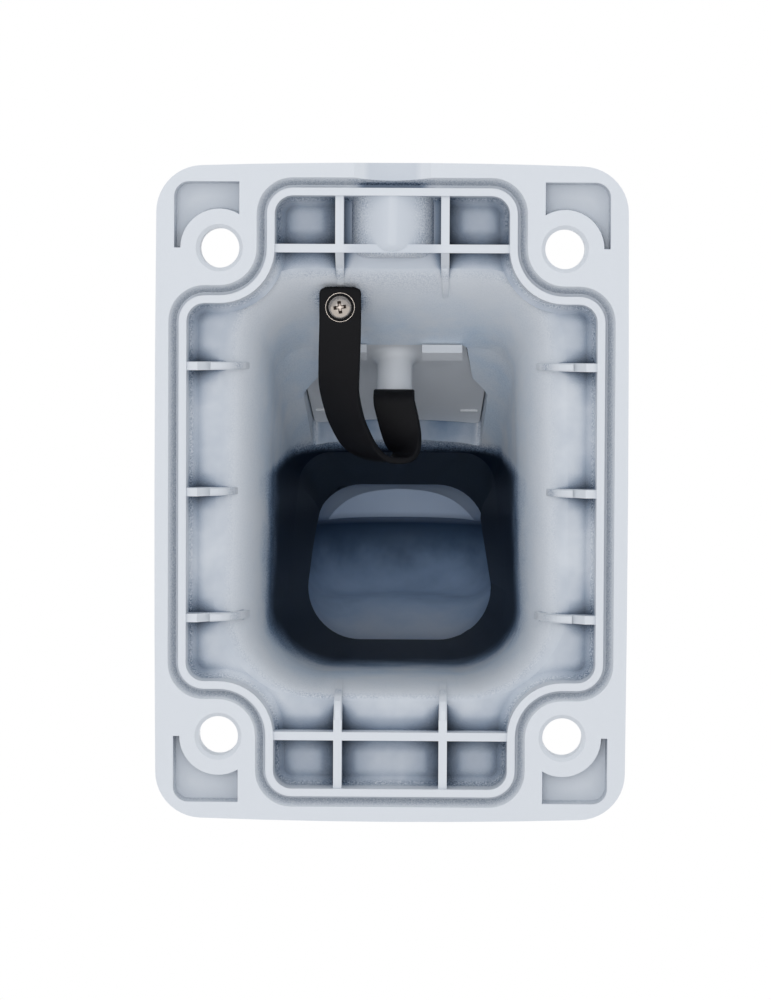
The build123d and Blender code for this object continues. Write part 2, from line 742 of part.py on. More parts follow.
# Tether strap: a flat tab on the casting's boss, a ribbon that hangs in a twisted loop,
# and a tab that folds over the end of the peg.
# The ribbon's points are (share of the way between its ends, shift in X, Y and Z from the
# straight line between them, turn of its width from X towards the wall in degrees).
strap_route = [
    (0.04, -0.2, 0.2, 1.3, 0),
    (0.20, -2.8, 1.7, 6.0, 10),
    (0.30, -4.1, 0.9, 9.3, 22),
    (0.40, -4.4, -0.2, 12.6, 28),
    (0.50, -4.6, -0.9, 14.3, 31),
    (0.60, -3.2, -2.3, 17.6, 36),
    (0.70, -0.6, -3.2, 18.9, 58),
    (0.80, 3.4, -3.2, 17.9, 72),
    (0.87, 4.5, -2.5, 14.7, 50),
    (0.93, 3.0, -1.5, 10.2, 15),
    (0.98, 1.3, -0.4, 3.9, 0),
]
strap_tab_end_z = strap_boss_z + strap_tab_length / 2
ribbon_start = Vector(strap_boss_x, -strap_boss_face_depth + strap_thickness / 2, strap_tab_end_z)
tab_middle_z = peg_end_z - strap_thickness / 2
fold_start = hatch_plane.from_local_coords((0, peg_place - peg_tab_near, tab_middle_z))
fold_centre = fold_start - hatch_plane.z_dir * strap_bend_radius
ribbon_end = fold_centre + Vector(0, strap_bend_radius, 0)


def ribbon_plane(centre, along, turn):
    """The plane of one section of the ribbon, with its width on x and its outer face on y."""
    along = along.normalized()
    width = Vector(cos(radians(turn)), sin(radians(turn)), 0)
    width = width - along * width.dot(along)
    return Plane(origin=centre, x_dir=width, z_dir=along)


with BuildPart() as tether_strap:
    # Tab under the screw on the boss
    with BuildSketch(boss_seat) as boss_tab:
        Rectangle(strap_width, strap_tab_length)
        fillet(boss_tab.vertices().group_by(Axis.Y)[-1], radius=strap_corner_radius)
    extrude(amount=-strap_thickness)

    # Ribbon
    chord = ribbon_end - ribbon_start
    centres = [ribbon_start + chord * share + Vector(x, y, z) for share, x, y, z, turn in strap_route]
    turns = [0] + [row[4] for row in strap_route] + [0]
    centres = [ribbon_start] + centres + [ribbon_end]
    directions = [after - before for before, after in zip(centres[:-2], centres[2:])]
    directions = [Vector(0, 0, 1)] + directions + [Vector(0, 0, -1)]
    ribbon_sections = []
    for centre, along, turn in zip(centres, directions, turns):
        with BuildSketch(ribbon_plane(centre, along, turn), mode=Mode.PRIVATE) as section:
            Rectangle(strap_width, strap_thickness)
        ribbon_sections += [section.sketch]
    loft(ribbon_sections, ruled=True)

    # Fold and tab on the peg's end
    fold_angle = 90 + hatch_slope
    fold_axis = Axis(fold_centre, (-1, 0, 0))
    with BuildSketch(Plane(origin=ribbon_end, x_dir=(1, 0, 0), z_dir=(0, 0, -1))):
        Rectangle(strap_width, strap_thickness)
    revolve(axis=fold_axis, revolution_arc=fold_angle)
    with BuildSketch(hatch_plane.offset(peg_end_z)):
        with Locations((0, peg_place + (peg_tab_far - peg_tab_near) / 2)):
            Rectangle(strap_width, peg_tab_far + peg_tab_near)
    extrude(amount=-strap_thickness)

    # Holes for the two screws
    for seat in (boss_seat, peg_seat):
        with BuildSketch(seat):
            Circle((tether_screw_shank + screw_hole_clearance) / 2)
        extrude(amount=-strap_thickness, mode=Mode.SUBTRACT)

os.makedirs("parts", exist_ok=True)
pieces = {
    "bracket_casting": bracket_casting,
    "hatch_cover": hatch_cover,
    "hatch_gasket": hatch_gasket,
    "hatch_screw": hatch_screw,
    "tether_strap": tether_strap,
    "strap_screw": strap_screw,
    "strap_washer": strap_washer,
    "peg_screw": peg_screw,
    "peg_washer": peg_washer,
}
for name, piece in pieces.items():
    piece.part.label = name
    export_step(piece.part, f"parts/{name}.step")
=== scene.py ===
# %% [markdown]
# # A die-cast wall bracket, seen from the side that meets the wall
# The bracket carries a dome camera: a plate with four bolt holes, a hollow arm and a threaded
# collar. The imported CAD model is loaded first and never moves. Everything below dresses it:
# finishes for the casting, the plastic cover and the metal, and a few pieces that need a finer
# shape than the CAD solids have. Lengths are in metres, or in mm where a comment says so, with Z
# up and the wall at Y = 0.

# %% Load the fixed frame
from math import atan2, cos, degrees, hypot, pi, radians, sin, sqrt, tan

import bmesh
import bpy
from mathutils import Matrix, Vector
from mathutils.bvhtree import BVHTree


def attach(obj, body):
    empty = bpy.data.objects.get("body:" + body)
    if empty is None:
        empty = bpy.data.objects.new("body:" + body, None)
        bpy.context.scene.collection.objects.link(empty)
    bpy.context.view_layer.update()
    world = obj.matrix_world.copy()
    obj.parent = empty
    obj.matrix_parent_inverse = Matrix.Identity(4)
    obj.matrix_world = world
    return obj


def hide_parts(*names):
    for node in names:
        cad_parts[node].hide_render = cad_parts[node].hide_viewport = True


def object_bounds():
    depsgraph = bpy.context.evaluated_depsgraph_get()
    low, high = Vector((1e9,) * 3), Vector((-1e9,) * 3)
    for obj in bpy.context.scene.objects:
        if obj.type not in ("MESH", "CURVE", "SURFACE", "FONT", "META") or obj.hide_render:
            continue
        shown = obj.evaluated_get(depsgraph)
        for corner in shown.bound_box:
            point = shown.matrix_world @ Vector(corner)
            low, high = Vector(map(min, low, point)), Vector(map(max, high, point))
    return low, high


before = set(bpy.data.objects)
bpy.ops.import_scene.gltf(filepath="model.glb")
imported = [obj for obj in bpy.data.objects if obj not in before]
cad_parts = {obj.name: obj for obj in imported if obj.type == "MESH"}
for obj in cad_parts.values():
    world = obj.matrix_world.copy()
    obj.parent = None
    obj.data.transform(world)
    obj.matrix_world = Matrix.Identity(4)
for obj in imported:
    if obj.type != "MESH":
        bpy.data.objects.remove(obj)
cad_low, cad_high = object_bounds()
scene = bpy.context.scene
scene.view_settings.view_transform = "Standard"
print("CAD box in mm", [round(v * 1000, 1) for v in cad_low], [round(v * 1000, 1) for v in cad_high])

# %% [markdown]
# ## Small helpers
# Colours are written as they look on a screen, in sRGB hex. A renderer works with linear light,
# so one function turns the one into the other. Another adds a node to a material with its
# settings and its links, which keeps each material short enough to read from top to bottom.

# %% Helpers for colours and nodes
def linear(hex_colour):
    channels = [int(hex_colour[i:i + 2], 16) / 255 for i in (1, 3, 5)]
    return [c / 12.92 if c <= 0.04045 else ((c + 0.055) / 1.055) ** 2.4 for c in channels] + [1.0]


def add_node(tree, kind, values=None, **settings):
    """Adds a node. Values go to inputs by name or number. An output socket becomes a link, and a
    node stands for its own first output."""
    node = tree.nodes.new(kind)
    for name, value in settings.items():
        setattr(node, name, value)
    for name, value in (values or {}).items():
        if isinstance(value, bpy.types.Node):
            value = value.outputs[0]
        if isinstance(value, bpy.types.NodeSocket):
            tree.links.new(value, node.inputs[name])
        else:
            node.inputs[name].default_value = value
    return node


def add_ramp(tree, factor, stops):
    """A colour ramp from stops of (place from 0 to 1, hex colour)."""
    node = add_node(tree, "ShaderNodeValToRGB", {"Fac": factor})
    marks = node.color_ramp.elements
    marks[0].position, marks[0].color = stops[0][0], linear(stops[0][1])
    marks[1].position, marks[1].color = stops[-1][0], linear(stops[-1][1])
    for place, hex_colour in stops[1:-1]:
        marks.new(place).color = linear(hex_colour)
    return node.outputs["Color"]


def new_material(name):
    material = bpy.data.materials.new(name)
    material.use_nodes = True
    tree = material.node_tree
    tree.nodes.clear()
    return material, tree


print("white in linear light", linear("#FFFFFF"))

# %% Helpers for objects
def add_piece(name, data):
    """Puts a mesh, a lamp or a camera into the scene as an object at the origin."""
    piece = bpy.data.objects.new(name, data)
    scene.collection.objects.link(piece)
    return piece


def dress(piece, material):
    piece.data.materials.clear()
    piece.data.materials.append(material)


print("nodes of the CAD model", sorted(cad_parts))

# %% [markdown]
# ## The camera
# The eye is a metre from the wall side, near the middle of the plate and a little low. A long
# lens keeps the plate nearly free of perspective, while the hollow arm still opens like a funnel.
# The bracket was pictured upside down, so the camera is rolled by half a turn and the part
# itself stays the right way up. A lens is picked from the size that one metre away must have:
# focal length over sensor height equals pixels per metre over the picture's height in pixels.

# %% Camera
picture_height, sensor_height = 1000, 36
eye = Vector((0.0182, 1.0, -0.04574))
aim = Vector((-0.0013, 0.0, 0.00154))
pixels_per_metre_at_eye_distance = 4235
roll = radians(180.26)

camera_data = bpy.data.cameras.new("bracket_camera")
camera_data.sensor_fit = "VERTICAL"
camera_data.sensor_height = sensor_height
camera_data.lens = sensor_height * pixels_per_metre_at_eye_distance / picture_height
camera_data.clip_start = 0.01
camera = add_piece("bracket_camera", camera_data)
level_view = (aim - eye).to_track_quat("-Z", "Y").to_matrix().to_4x4()
camera.matrix_world = Matrix.Translation(eye) @ level_view @ Matrix.Rotation(roll, 4, "Z")
scene.camera = camera
print("lens", round(camera_data.lens, 1), "mm, distance", round((aim - eye).length, 3), "m")

# %% [markdown]
# ## Light and surroundings
# A product studio: white all round, with large soft lamps. The world lights the bracket from
# every side at a plain level. A big panel on the eye's side and another on the arm's side give
# the surfaces a soft direction. The camera, mirrors and glass see pure white, whatever the
# world's own strength.

# %% World, lamps and floor
world = bpy.data.worlds.new("white_studio")
scene.world = world
world.use_nodes = True
world_tree = world.node_tree
world_tree.nodes.clear()
rays = add_node(world_tree, "ShaderNodeLightPath")
seen = add_node(world_tree, "ShaderNodeMath", {
    0: rays.outputs["Is Camera Ray"], 1: rays.outputs["Is Glossy Ray"]}, operation="MAXIMUM")
seen = add_node(world_tree, "ShaderNodeMath", {
    0: seen, 1: rays.outputs["Is Transmission Ray"]}, operation="MAXIMUM")
world_light = add_node(world_tree, "ShaderNodeBackground", {"Color": linear("#F6F9FF"), "Strength": 0.70})
world_seen = add_node(world_tree, "ShaderNodeBackground", {"Color": (1, 1, 1, 1), "Strength": 1.0})
world_mix = add_node(world_tree, "ShaderNodeMixShader", {0: seen, 1: world_light, 2: world_seen})
add_node(world_tree, "ShaderNodeOutputWorld", {"Surface": world_mix})


def soft_panel(name, place, target, size, power):
    lamp = bpy.data.lights.new(name, "AREA")
    lamp.shape = "SQUARE"
    lamp.size = size
    lamp.energy = power
    panel = add_piece(name, lamp)
    panel.location = place
    panel.rotation_euler = (Vector(target) - Vector(place)).to_track_quat("-Z", "Y").to_euler()


soft_panel("panel_wall_side", (-0.12, 1.3, -0.12), (0, 0, 0), size=0.6, power=3.4)
soft_panel("panel_arm_side", (0.7, -1.1, 0.9), (0, -0.1, 0), size=1.0, power=10.0)

floor_edge, floor_z = 3.0, cad_low.z - 0.30
floor_corners = [(side_x * floor_edge, side_y * floor_edge, floor_z)
                 for side_x, side_y in ((-1, -1), (1, -1), (1, 1), (-1, 1))]
floor_mesh = bpy.data.meshes.new("studio_floor")
floor_mesh.from_pydata(floor_corners, [], [(0, 1, 2, 3)])
floor = add_piece("studio_floor", floor_mesh)
floor_paint, tree = new_material("pale_floor_paint")
shader = add_node(tree, "ShaderNodeBsdfPrincipled", {"Base Color": linear("#EEF0F2"), "Roughness": 0.9})
add_node(tree, "ShaderNodeOutputMaterial", {"Surface": shader})
dress(floor, floor_paint)

# %% [markdown]
# ## Powder coat over dark primer
# The casting is aluminium with a dark primer and a pale blue-grey polyester powder coat. The
# powder is blown on as charged dust and baked. Dust doesn't reach inside corners or far down a
# hollow, so the coat there thins out into fine speckles and the primer shows. The same masks also
# paint shade and light into the colour: painted shade in the inside corners, on the floor of the
# recess and down the hollow, and bands of painted light and shadow in the nose. The finish is one
# material, built up over the next cells from masks that run from 0 to 1. Depth is counted from
# the wall, and distances from the plate's middle are taken without their sign, because bolts and
# edges lie the same on both sides.

# %% Powder coat: where a point lies
# This material's colour holds painted shade as well as the coat and its primer
coat, tree = new_material("powder_coat_and_painted_shade")
place = add_node(tree, "ShaderNodeTexCoord").outputs["Object"]
axes = add_node(tree, "ShaderNodeSeparateXYZ", {0: place})
depth = add_node(tree, "ShaderNodeMath", {0: axes.outputs["Y"], 1: -1.0}, operation="MULTIPLY")
from_middle = add_node(tree, "ShaderNodeVectorMath", {0: place}, operation="ABSOLUTE")
to_edge = add_node(tree, "ShaderNodeSeparateXYZ", {0: from_middle})
form = add_node(tree, "ShaderNodeNewGeometry")
normal_axes = add_node(tree, "ShaderNodeSeparateXYZ", {0: form.outputs["True Normal"]})
print("places measured by", len(tree.nodes), "nodes")

# %% [markdown]
# ### Which faces are inside
# Only the inside gets the thin coat and the painted shade. A face is inside when it looks towards
# the arm's middle line, when it belongs to the plate's back, or when it faces the mouth. The collar
# and the seats of the bolts are taken out again, because the spray reached those from outside.

# %% Powder coat: which faces are inside
# A point on the arm's middle line at its end, then depths, half widths and heights on the plate
middle_line_end, least_inward = (0.0, -0.15, 0.018), -0.0002
plate_depth, flank_x, flank_z = 0.0118, 0.0535, 0.0755
nose_depth, collar_top = 0.12, -0.0035
bolt_place, bolt_seat_radius = (0.0408, 0.0, 0.05785), 0.0092

from_line = add_node(tree, "ShaderNodeVectorMath", {0: place, 1: middle_line_end}, operation="SUBTRACT")
from_line = add_node(tree, "ShaderNodeVectorMath", {0: from_line, 1: (1.0, 0.0, 1.0)}, operation="MINIMUM")
outward = add_node(tree, "ShaderNodeVectorMath", {
    0: from_line, 1: form.outputs["True Normal"]}, operation="DOT_PRODUCT").outputs["Value"]
inward = add_node(tree, "ShaderNodeMath", {0: outward, 1: least_inward}, operation="LESS_THAN")
shallow = add_node(tree, "ShaderNodeMath", {0: depth, 1: plate_depth}, operation="LESS_THAN")
off_sides = add_node(tree, "ShaderNodeMath", {0: to_edge.outputs["X"], 1: flank_x}, operation="LESS_THAN")
off_ends = add_node(tree, "ShaderNodeMath", {0: to_edge.outputs["Z"], 1: flank_z}, operation="LESS_THAN")
shallow = add_node(tree, "ShaderNodeMath", {0: shallow, 1: off_sides}, operation="MULTIPLY")
shallow = add_node(tree, "ShaderNodeMath", {0: shallow, 1: off_ends}, operation="MULTIPLY")
inside = add_node(tree, "ShaderNodeMath", {0: inward, 1: shallow}, operation="MAXIMUM")
facing_mouth = add_node(tree, "ShaderNodeMapRange", {
    "Value": normal_axes.outputs["Y"], "From Min": 0.7, "From Max": 0.9})
before_nose = add_node(tree, "ShaderNodeMath", {0: depth, 1: nose_depth}, operation="LESS_THAN")
facing_inside = add_node(tree, "ShaderNodeMath", {0: facing_mouth, 1: before_nose}, operation="MULTIPLY")
inside = add_node(tree, "ShaderNodeMath", {0: inside, 1: facing_inside}, operation="MAXIMUM")

above_collar = add_node(tree, "ShaderNodeMath", {
    0: axes.outputs["Z"], 1: collar_top}, operation="GREATER_THAN")
off_collar = add_node(tree, "ShaderNodeMath", {0: above_collar, 1: before_nose}, operation="MAXIMUM")
beside_wall = add_node(tree, "ShaderNodeVectorMath", {
    0: from_middle, 1: (1.0, 0.0, 1.0)}, operation="MULTIPLY")
from_bolt = add_node(tree, "ShaderNodeVectorMath", {
    0: beside_wall, 1: bolt_place}, operation="DISTANCE").outputs["Value"]
off_bolt = add_node(tree, "ShaderNodeMath", {0: from_bolt, 1: bolt_seat_radius}, operation="GREATER_THAN")
inside = add_node(tree, "ShaderNodeMath", {0: inside, 1: off_collar}, operation="MULTIPLY")
inside = add_node(tree, "ShaderNodeMath", {0: inside, 1: off_bolt}, operation="MULTIPLY")
print("inside found by", len(tree.nodes), "nodes")

# %% [markdown]
# ### How far the spray reaches, and the painted shade down the hollow
# The deeper in the hollow, the less powder and the more painted shade: the coat starts to fade
# 16 mm from the wall and is gone at 55 mm. It reaches further under the roof, further still on
# faces that look at the mouth, and furthest along the floor. A cloudy noise with patches of
# 12 mm makes its end ragged.

# %% Powder coat: how far the spray reaches, with painted shade down the hollow
patch_size, ragged = 0.012, 0.004
fade_start, fade_end = 0.0165, 0.055
floor_reach, roof_reach, facing_reach = 0.055, 0.017, 0.048
floor_top, floor_bottom, roof_bottom, roof_top = -0.002, -0.0115, 0.034, 0.044

patches = add_node(tree, "ShaderNodeTexNoise", {
    "Vector": place, "Scale": 1 / patch_size, "Detail": 3.0, "Roughness": 0.55}).outputs["Fac"]
drift = add_node(tree, "ShaderNodeMapRange", {
    "Value": patches, "From Min": 0.3, "From Max": 0.7, "To Min": -ragged, "To Max": ragged})
ragged_depth = add_node(tree, "ShaderNodeMath", {0: depth, 1: drift}, operation="ADD")
sprayed_floor = add_node(tree, "ShaderNodeMapRange", {
    "Value": axes.outputs["Z"], "From Min": floor_top, "From Max": floor_bottom, "To Max": floor_reach},
    interpolation_type="SMOOTHSTEP")
sprayed_roof = add_node(tree, "ShaderNodeMapRange", {
    "Value": axes.outputs["Z"], "From Min": roof_bottom, "From Max": roof_top, "To Max": roof_reach})
reach = add_node(tree, "ShaderNodeMix", {
    "Factor": facing_mouth, "A": sprayed_floor, "B": facing_reach}).outputs["Result"]
reach = add_node(tree, "ShaderNodeMath", {0: reach, 1: sprayed_roof}, operation="ADD")
past_spray = add_node(tree, "ShaderNodeMath", {0: ragged_depth, 1: reach}, operation="SUBTRACT")
# Painted shade down the hollow, where the coat also thins: darker with depth past the reach
hollow_shade_and_thinning = add_node(tree, "ShaderNodeMapRange", {
    "Value": past_spray, "From Min": fade_start, "From Max": fade_end}, interpolation_type="SMOOTHSTEP")
print("hollow found by", len(tree.nodes), "nodes")

# %% [markdown]
# ### Inside corners and the floor of the recess
# The field that draws the powder doesn't reach into a tight corner, so little lands there. An
# ambient occlusion lookup finds points that are shut in by walls within 9 mm and darkens them,
# which paints shade into the corners as well as the thin coat. They count more the deeper they
# lie, and in full from 8 mm on. The floor of the recess is darker all over, painted shade with a
# thinner coat, in patches as long as 12 mm, and that ends where the horn begins.

# %% Powder coat: inside corners and the recess
corner_reach, wall_depth, floor_start, floor_depth = 0.009, 0.005, 0.0055, 0.008
horn_start, horn_depth = 0.0085, 0.0105

# Painted shade in the inside corners, from ambient occlusion, together with the thin coat there
corners = add_node(tree, "ShaderNodeAmbientOcclusion", {"Distance": corner_reach}, samples=8, only_local=True)
corner_shade_and_thinning = add_node(tree, "ShaderNodeMapRange", {
    "Value": corners.outputs["AO"], "From Min": 0.8, "From Max": 0.34, "To Max": 0.95})
sunken = add_node(tree, "ShaderNodeMapRange", {
    "Value": depth, "From Min": wall_depth, "From Max": floor_depth, "To Min": 0.15})
recess_shade_and_thinning = add_node(tree, "ShaderNodeMath", {0: corner_shade_and_thinning, 1: sunken}, operation="MULTIPLY")
# Painted shade on the recess floor, together with a thinner coat
floor_shade_and_thinning = add_node(tree, "ShaderNodeMapRange", {
    "Value": depth, "From Min": floor_start, "From Max": floor_depth, "To Max": 0.33})
floor_patches = add_node(tree, "ShaderNodeMapRange", {
    "Value": patches, "From Min": 0.3, "From Max": 0.7, "To Min": 0.2})
before_horn = add_node(tree, "ShaderNodeMapRange", {
    "Value": depth, "From Min": horn_start, "From Max": horn_depth, "To Min": 1.0, "To Max": 0.15})
floor_shade_and_thinning = add_node(tree, "ShaderNodeMath", {0: floor_shade_and_thinning, 1: floor_patches}, operation="MULTIPLY")
floor_shade_and_thinning = add_node(tree, "ShaderNodeMath", {0: floor_shade_and_thinning, 1: before_horn}, operation="MULTIPLY")
recess_shade_and_thinning = add_node(tree, "ShaderNodeMath", {0: recess_shade_and_thinning, 1: floor_shade_and_thinning}, operation="MAXIMUM")
print("recess found by", len(tree.nodes), "nodes")

# %% [markdown]
# ### Hump and scoop at the lower end
# Two forms at the plate's lower end change the colour round them. The hump stands proud and takes
# more coat, so the corner shade is mostly kept off it and only a light painted shade lies on it.
# The scoop in the flange shades the bottom of the groove behind it, and that shadow is painted in.

# %% Powder coat: hump and scoop
# Half widths and heights of both forms, then depths below the plate's back
hump_half, hump_foot, hump_bottom, hump_top = 0.0085, 0.013, -0.056, -0.045
scoop_half, scoop_foot, groove_top, groove_bottom = 0.0065, 0.0095, -0.0713, -0.0722
rim_edge, rim_side, groove_side, groove_bed = 0.0006, 0.0009, 0.0016, 0.0026

beside_hump = add_node(tree, "ShaderNodeMapRange", {
    "Value": to_edge.outputs["X"], "From Min": hump_half, "From Max": hump_foot, "To Min": 0.25},
    interpolation_type="SMOOTHSTEP")
above_hump = add_node(tree, "ShaderNodeMapRange", {
    "Value": axes.outputs["Z"], "From Min": hump_bottom, "From Max": hump_top})
off_hump = add_node(tree, "ShaderNodeMath", {0: beside_hump, 1: above_hump}, operation="MAXIMUM")
recess_shade_and_thinning = add_node(tree, "ShaderNodeMath", {0: recess_shade_and_thinning, 1: off_hump}, operation="MULTIPLY")
below_rim = add_node(tree, "ShaderNodeMapRange", {
    "Value": depth, "From Min": rim_edge, "From Max": rim_side, "To Max": 0.22})
# Light painted shade on the hump
hump_shade = add_node(tree, "ShaderNodeMath", {0: 1.0, 1: off_hump}, operation="SUBTRACT")
hump_shade = add_node(tree, "ShaderNodeMath", {0: hump_shade, 1: below_rim}, operation="MULTIPLY")
recess_shade_and_thinning = add_node(tree, "ShaderNodeMath", {0: recess_shade_and_thinning, 1: hump_shade}, operation="MAXIMUM")

# Painted shadow on the bottom of the groove behind the scoop
by_scoop = add_node(tree, "ShaderNodeMapRange", {
    "Value": to_edge.outputs["X"], "From Min": scoop_half, "From Max": scoop_foot,
    "To Min": 1.0, "To Max": 0.0})
at_end = add_node(tree, "ShaderNodeMapRange", {
    "Value": axes.outputs["Z"], "From Min": groove_top, "From Max": groove_bottom})
groove_floor = add_node(tree, "ShaderNodeMapRange", {
    "Value": depth, "From Min": groove_side, "From Max": groove_bed, "To Max": 0.62})
scoop_shade = add_node(tree, "ShaderNodeMath", {0: by_scoop, 1: at_end}, operation="MULTIPLY")
scoop_shade = add_node(tree, "ShaderNodeMath", {0: scoop_shade, 1: groove_floor}, operation="MULTIPLY")
recess_shade_and_thinning = add_node(tree, "ShaderNodeMath", {0: recess_shade_and_thinning, 1: scoop_shade}, operation="MAXIMUM")
print("lower end done with", len(tree.nodes), "nodes")

# %% [markdown]
# ### Full coat and less painted shade on crests
# The larger of hollow and recess is the share of primer and painted shade that shows. Crests
# and rims stick out into the spray and keep more of their coat, and they get less painted shade,
# so a second lookup finds faces that have nothing within 4 mm of them.

# %% Powder coat: share of primer and painted shade
crest_reach, arm_start = 0.004, 0.03
primer_and_shade = add_node(tree, "ShaderNodeMath", {0: hollow_shade_and_thinning, 1: recess_shade_and_thinning}, operation="MAXIMUM")
primer_and_shade = add_node(tree, "ShaderNodeMath", {0: primer_and_shade, 1: inside}, operation="MULTIPLY")
open_air = add_node(tree, "ShaderNodeAmbientOcclusion", {"Distance": crest_reach}, samples=8, only_local=True)
sheltered = add_node(tree, "ShaderNodeMapRange", {
    "Value": open_air.outputs["AO"], "From Min": 0.99, "From Max": 0.9, "To Min": 0.64})
before_arm = add_node(tree, "ShaderNodeMath", {0: depth, 1: arm_start}, operation="LESS_THAN")
# Less painted shade and thin coat on open crests before the arm
less_on_crests = add_node(tree, "ShaderNodeMix", {
    "Factor": before_arm, "A": 1.0, "B": sheltered}).outputs["Result"]
primer_and_shade = add_node(tree, "ShaderNodeMath", {0: primer_and_shade, 1: less_on_crests}, operation="MULTIPLY")
print("share of primer known after", len(tree.nodes), "nodes")

# %% [markdown]
# ### Grains of powder
# A fine noise breaks the border between coat and primer into grains. They are strongest where
# half of the primer and painted shade shows and vanish on a full coat and where that share is
# full, which the product of the two shares gives. Real grains are under 0.1 mm. They are drawn
# 0.36 mm wide so that they show.

# %% Powder coat: grains
grain_size, grain_strength = 0.00036, 1.5
grain = add_node(tree, "ShaderNodeTexNoise", {"Vector": place, "Scale": 1 / grain_size, "Detail": 2.0})
grain_height = add_node(tree, "ShaderNodeMapRange", {
    "Value": grain.outputs["Fac"], "From Min": 0.3, "From Max": 0.7, "To Min": -1.0, "To Max": 1.0})
coat_share = add_node(tree, "ShaderNodeMath", {0: 1.0, 1: primer_and_shade}, operation="SUBTRACT")
border_share = add_node(tree, "ShaderNodeMath", {0: primer_and_shade, 1: coat_share}, operation="MULTIPLY")
smooth_end = add_node(tree, "ShaderNodeMath", {0: 1.0, 1: facing_inside}, operation="SUBTRACT")
border_share = add_node(tree, "ShaderNodeMath", {0: border_share, 1: smooth_end}, operation="MULTIPLY")
grains = add_node(tree, "ShaderNodeMath", {0: grain_height, 1: border_share}, operation="MULTIPLY")
primer_and_shade_share = add_node(tree, "ShaderNodeMath", {
    0: grains, 1: grain_strength, 2: primer_and_shade}, operation="MULTIPLY_ADD")
print("grains", grain_size * 1000, "mm wide")

# %% [markdown]
# ### Colours of the coat
# A ramp leads from the pale coat through a thin blue-grey one to the dark primer, and its darker,
# bluer stops also stand for painted shade in the hollow. Patches of painted bluish shade lie in
# the horn. In the nose, bands of painted light and shadow from its floor to its roof take over:
# light at the floor, a shadow band above it, and lighter again up to the roof.

# %% Powder coat: colours
window_plane, plane_blur, nose_height = 0.130, 0.0004, 0.05
horn_mouth, horn_throat, bands_start, bands_full = 0.012, 0.03, 0.018, 0.024

# Its blue middle and dark end also give painted shade
thin_coat_and_shade = add_ramp(tree, primer_and_shade_share, [(0.0, "#E2E5E8"), (0.5, "#8294AA"), (1.0, "#0A1524")])
in_horn = add_node(tree, "ShaderNodeMapRange", {
    "Value": depth, "From Min": horn_mouth, "From Max": horn_throat})
# Painted bluish shade in patches on the horn
horn_bluish_shade = add_node(tree, "ShaderNodeMapRange", {
    "Value": patches, "From Min": 0.35, "From Max": 0.65, "To Min": 0.25})
horn_bluish_shade = add_node(tree, "ShaderNodeMath", {0: horn_bluish_shade, 1: in_horn}, operation="MULTIPLY")
horn_bluish_shade = add_node(tree, "ShaderNodeMath", {0: horn_bluish_shade, 1: inside}, operation="MULTIPLY")
thin_coat_and_shade = add_node(tree, "ShaderNodeMix", {
    "Factor": horn_bluish_shade, "A": thin_coat_and_shade, "B": linear("#E8F4FF")}, data_type="RGBA", blend_type="MULTIPLY")

upper = add_node(tree, "ShaderNodeMapRange", {
    "Value": axes.outputs["Z"], "From Min": bands_start, "From Max": bands_full, "To Max": 0.8})
wavy_height = add_node(tree, "ShaderNodeMath", {
    0: drift, 1: upper, 2: axes.outputs["Z"]}, operation="MULTIPLY_ADD")
height = add_node(tree, "ShaderNodeMapRange", {
    "Value": wavy_height, "From Min": 0.0, "From Max": nose_height})
# Painted light and shadow in bands up the nose: light at the floor, a dark shadow band, lighter to the roof
nose_light_and_shadow = add_ramp(tree, height, [
    (0.0, "#C4D2E4"), (0.26, "#C4D2E4"), (0.33, "#344A64"), (0.42, "#5A7089"), (0.6, "#92A9C6"),
    (0.74, "#AAC1DD"), (1.0, "#D2DCEA")])
in_nose = add_node(tree, "ShaderNodeMapRange", {
    "Value": depth, "From Min": window_plane - plane_blur, "From Max": window_plane + plane_blur})
nose_band_share = add_node(tree, "ShaderNodeMath", {0: in_nose, 1: inside}, operation="MULTIPLY")
colour = add_node(tree, "ShaderNodeMix", {
    "Factor": nose_band_share, "A": thin_coat_and_shade.outputs["Result"], "B": nose_light_and_shadow}, data_type="RGBA")
print("colours mixed with", len(tree.nodes), "nodes")

# %% [markdown]
# ### Surface of the coat
# Melted powder leaves orange peel, shallow waves about 2 mm long, which a weak bump gives. Bare
# primer is chalky, so it shines less than the coat, and the shine follows the share of primer and
# painted shade.

# %% Powder coat: surface
peel_length, peel_height = 0.002, 0.0002
peel = add_node(tree, "ShaderNodeTexNoise", {"Vector": place, "Scale": 1 / peel_length, "Detail": 1.0})
bump = add_node(tree, "ShaderNodeBump", {
    "Strength": 0.12, "Distance": peel_height, "Height": peel.outputs["Fac"]})
shine = add_node(tree, "ShaderNodeMapRange", {
    "Value": primer_and_shade, "From Min": 0.3, "From Max": 1.0, "To Min": 0.5, "To Max": 0.12})
shader = add_node(tree, "ShaderNodeBsdfPrincipled", {
    "Base Color": colour.outputs["Result"], "Roughness": 0.45, "Specular IOR Level": shine, "Normal": bump})
add_node(tree, "ShaderNodeOutputMaterial", {"Surface": shader})
dress(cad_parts["bracket_casting"], coat)
print("finish", coat.name, len(tree.nodes), "nodes")

# %% [markdown]
# ## Plastic, rubber and plated steel
# The hatch cover is moulded ABS with a fine matte texture, which blurs its highlights. The strap
# and the gasket are moulded black rubber with hardly any shine. The screws and washers are steel
# with bright nickel plating, darkened in its crevices by painted shade.

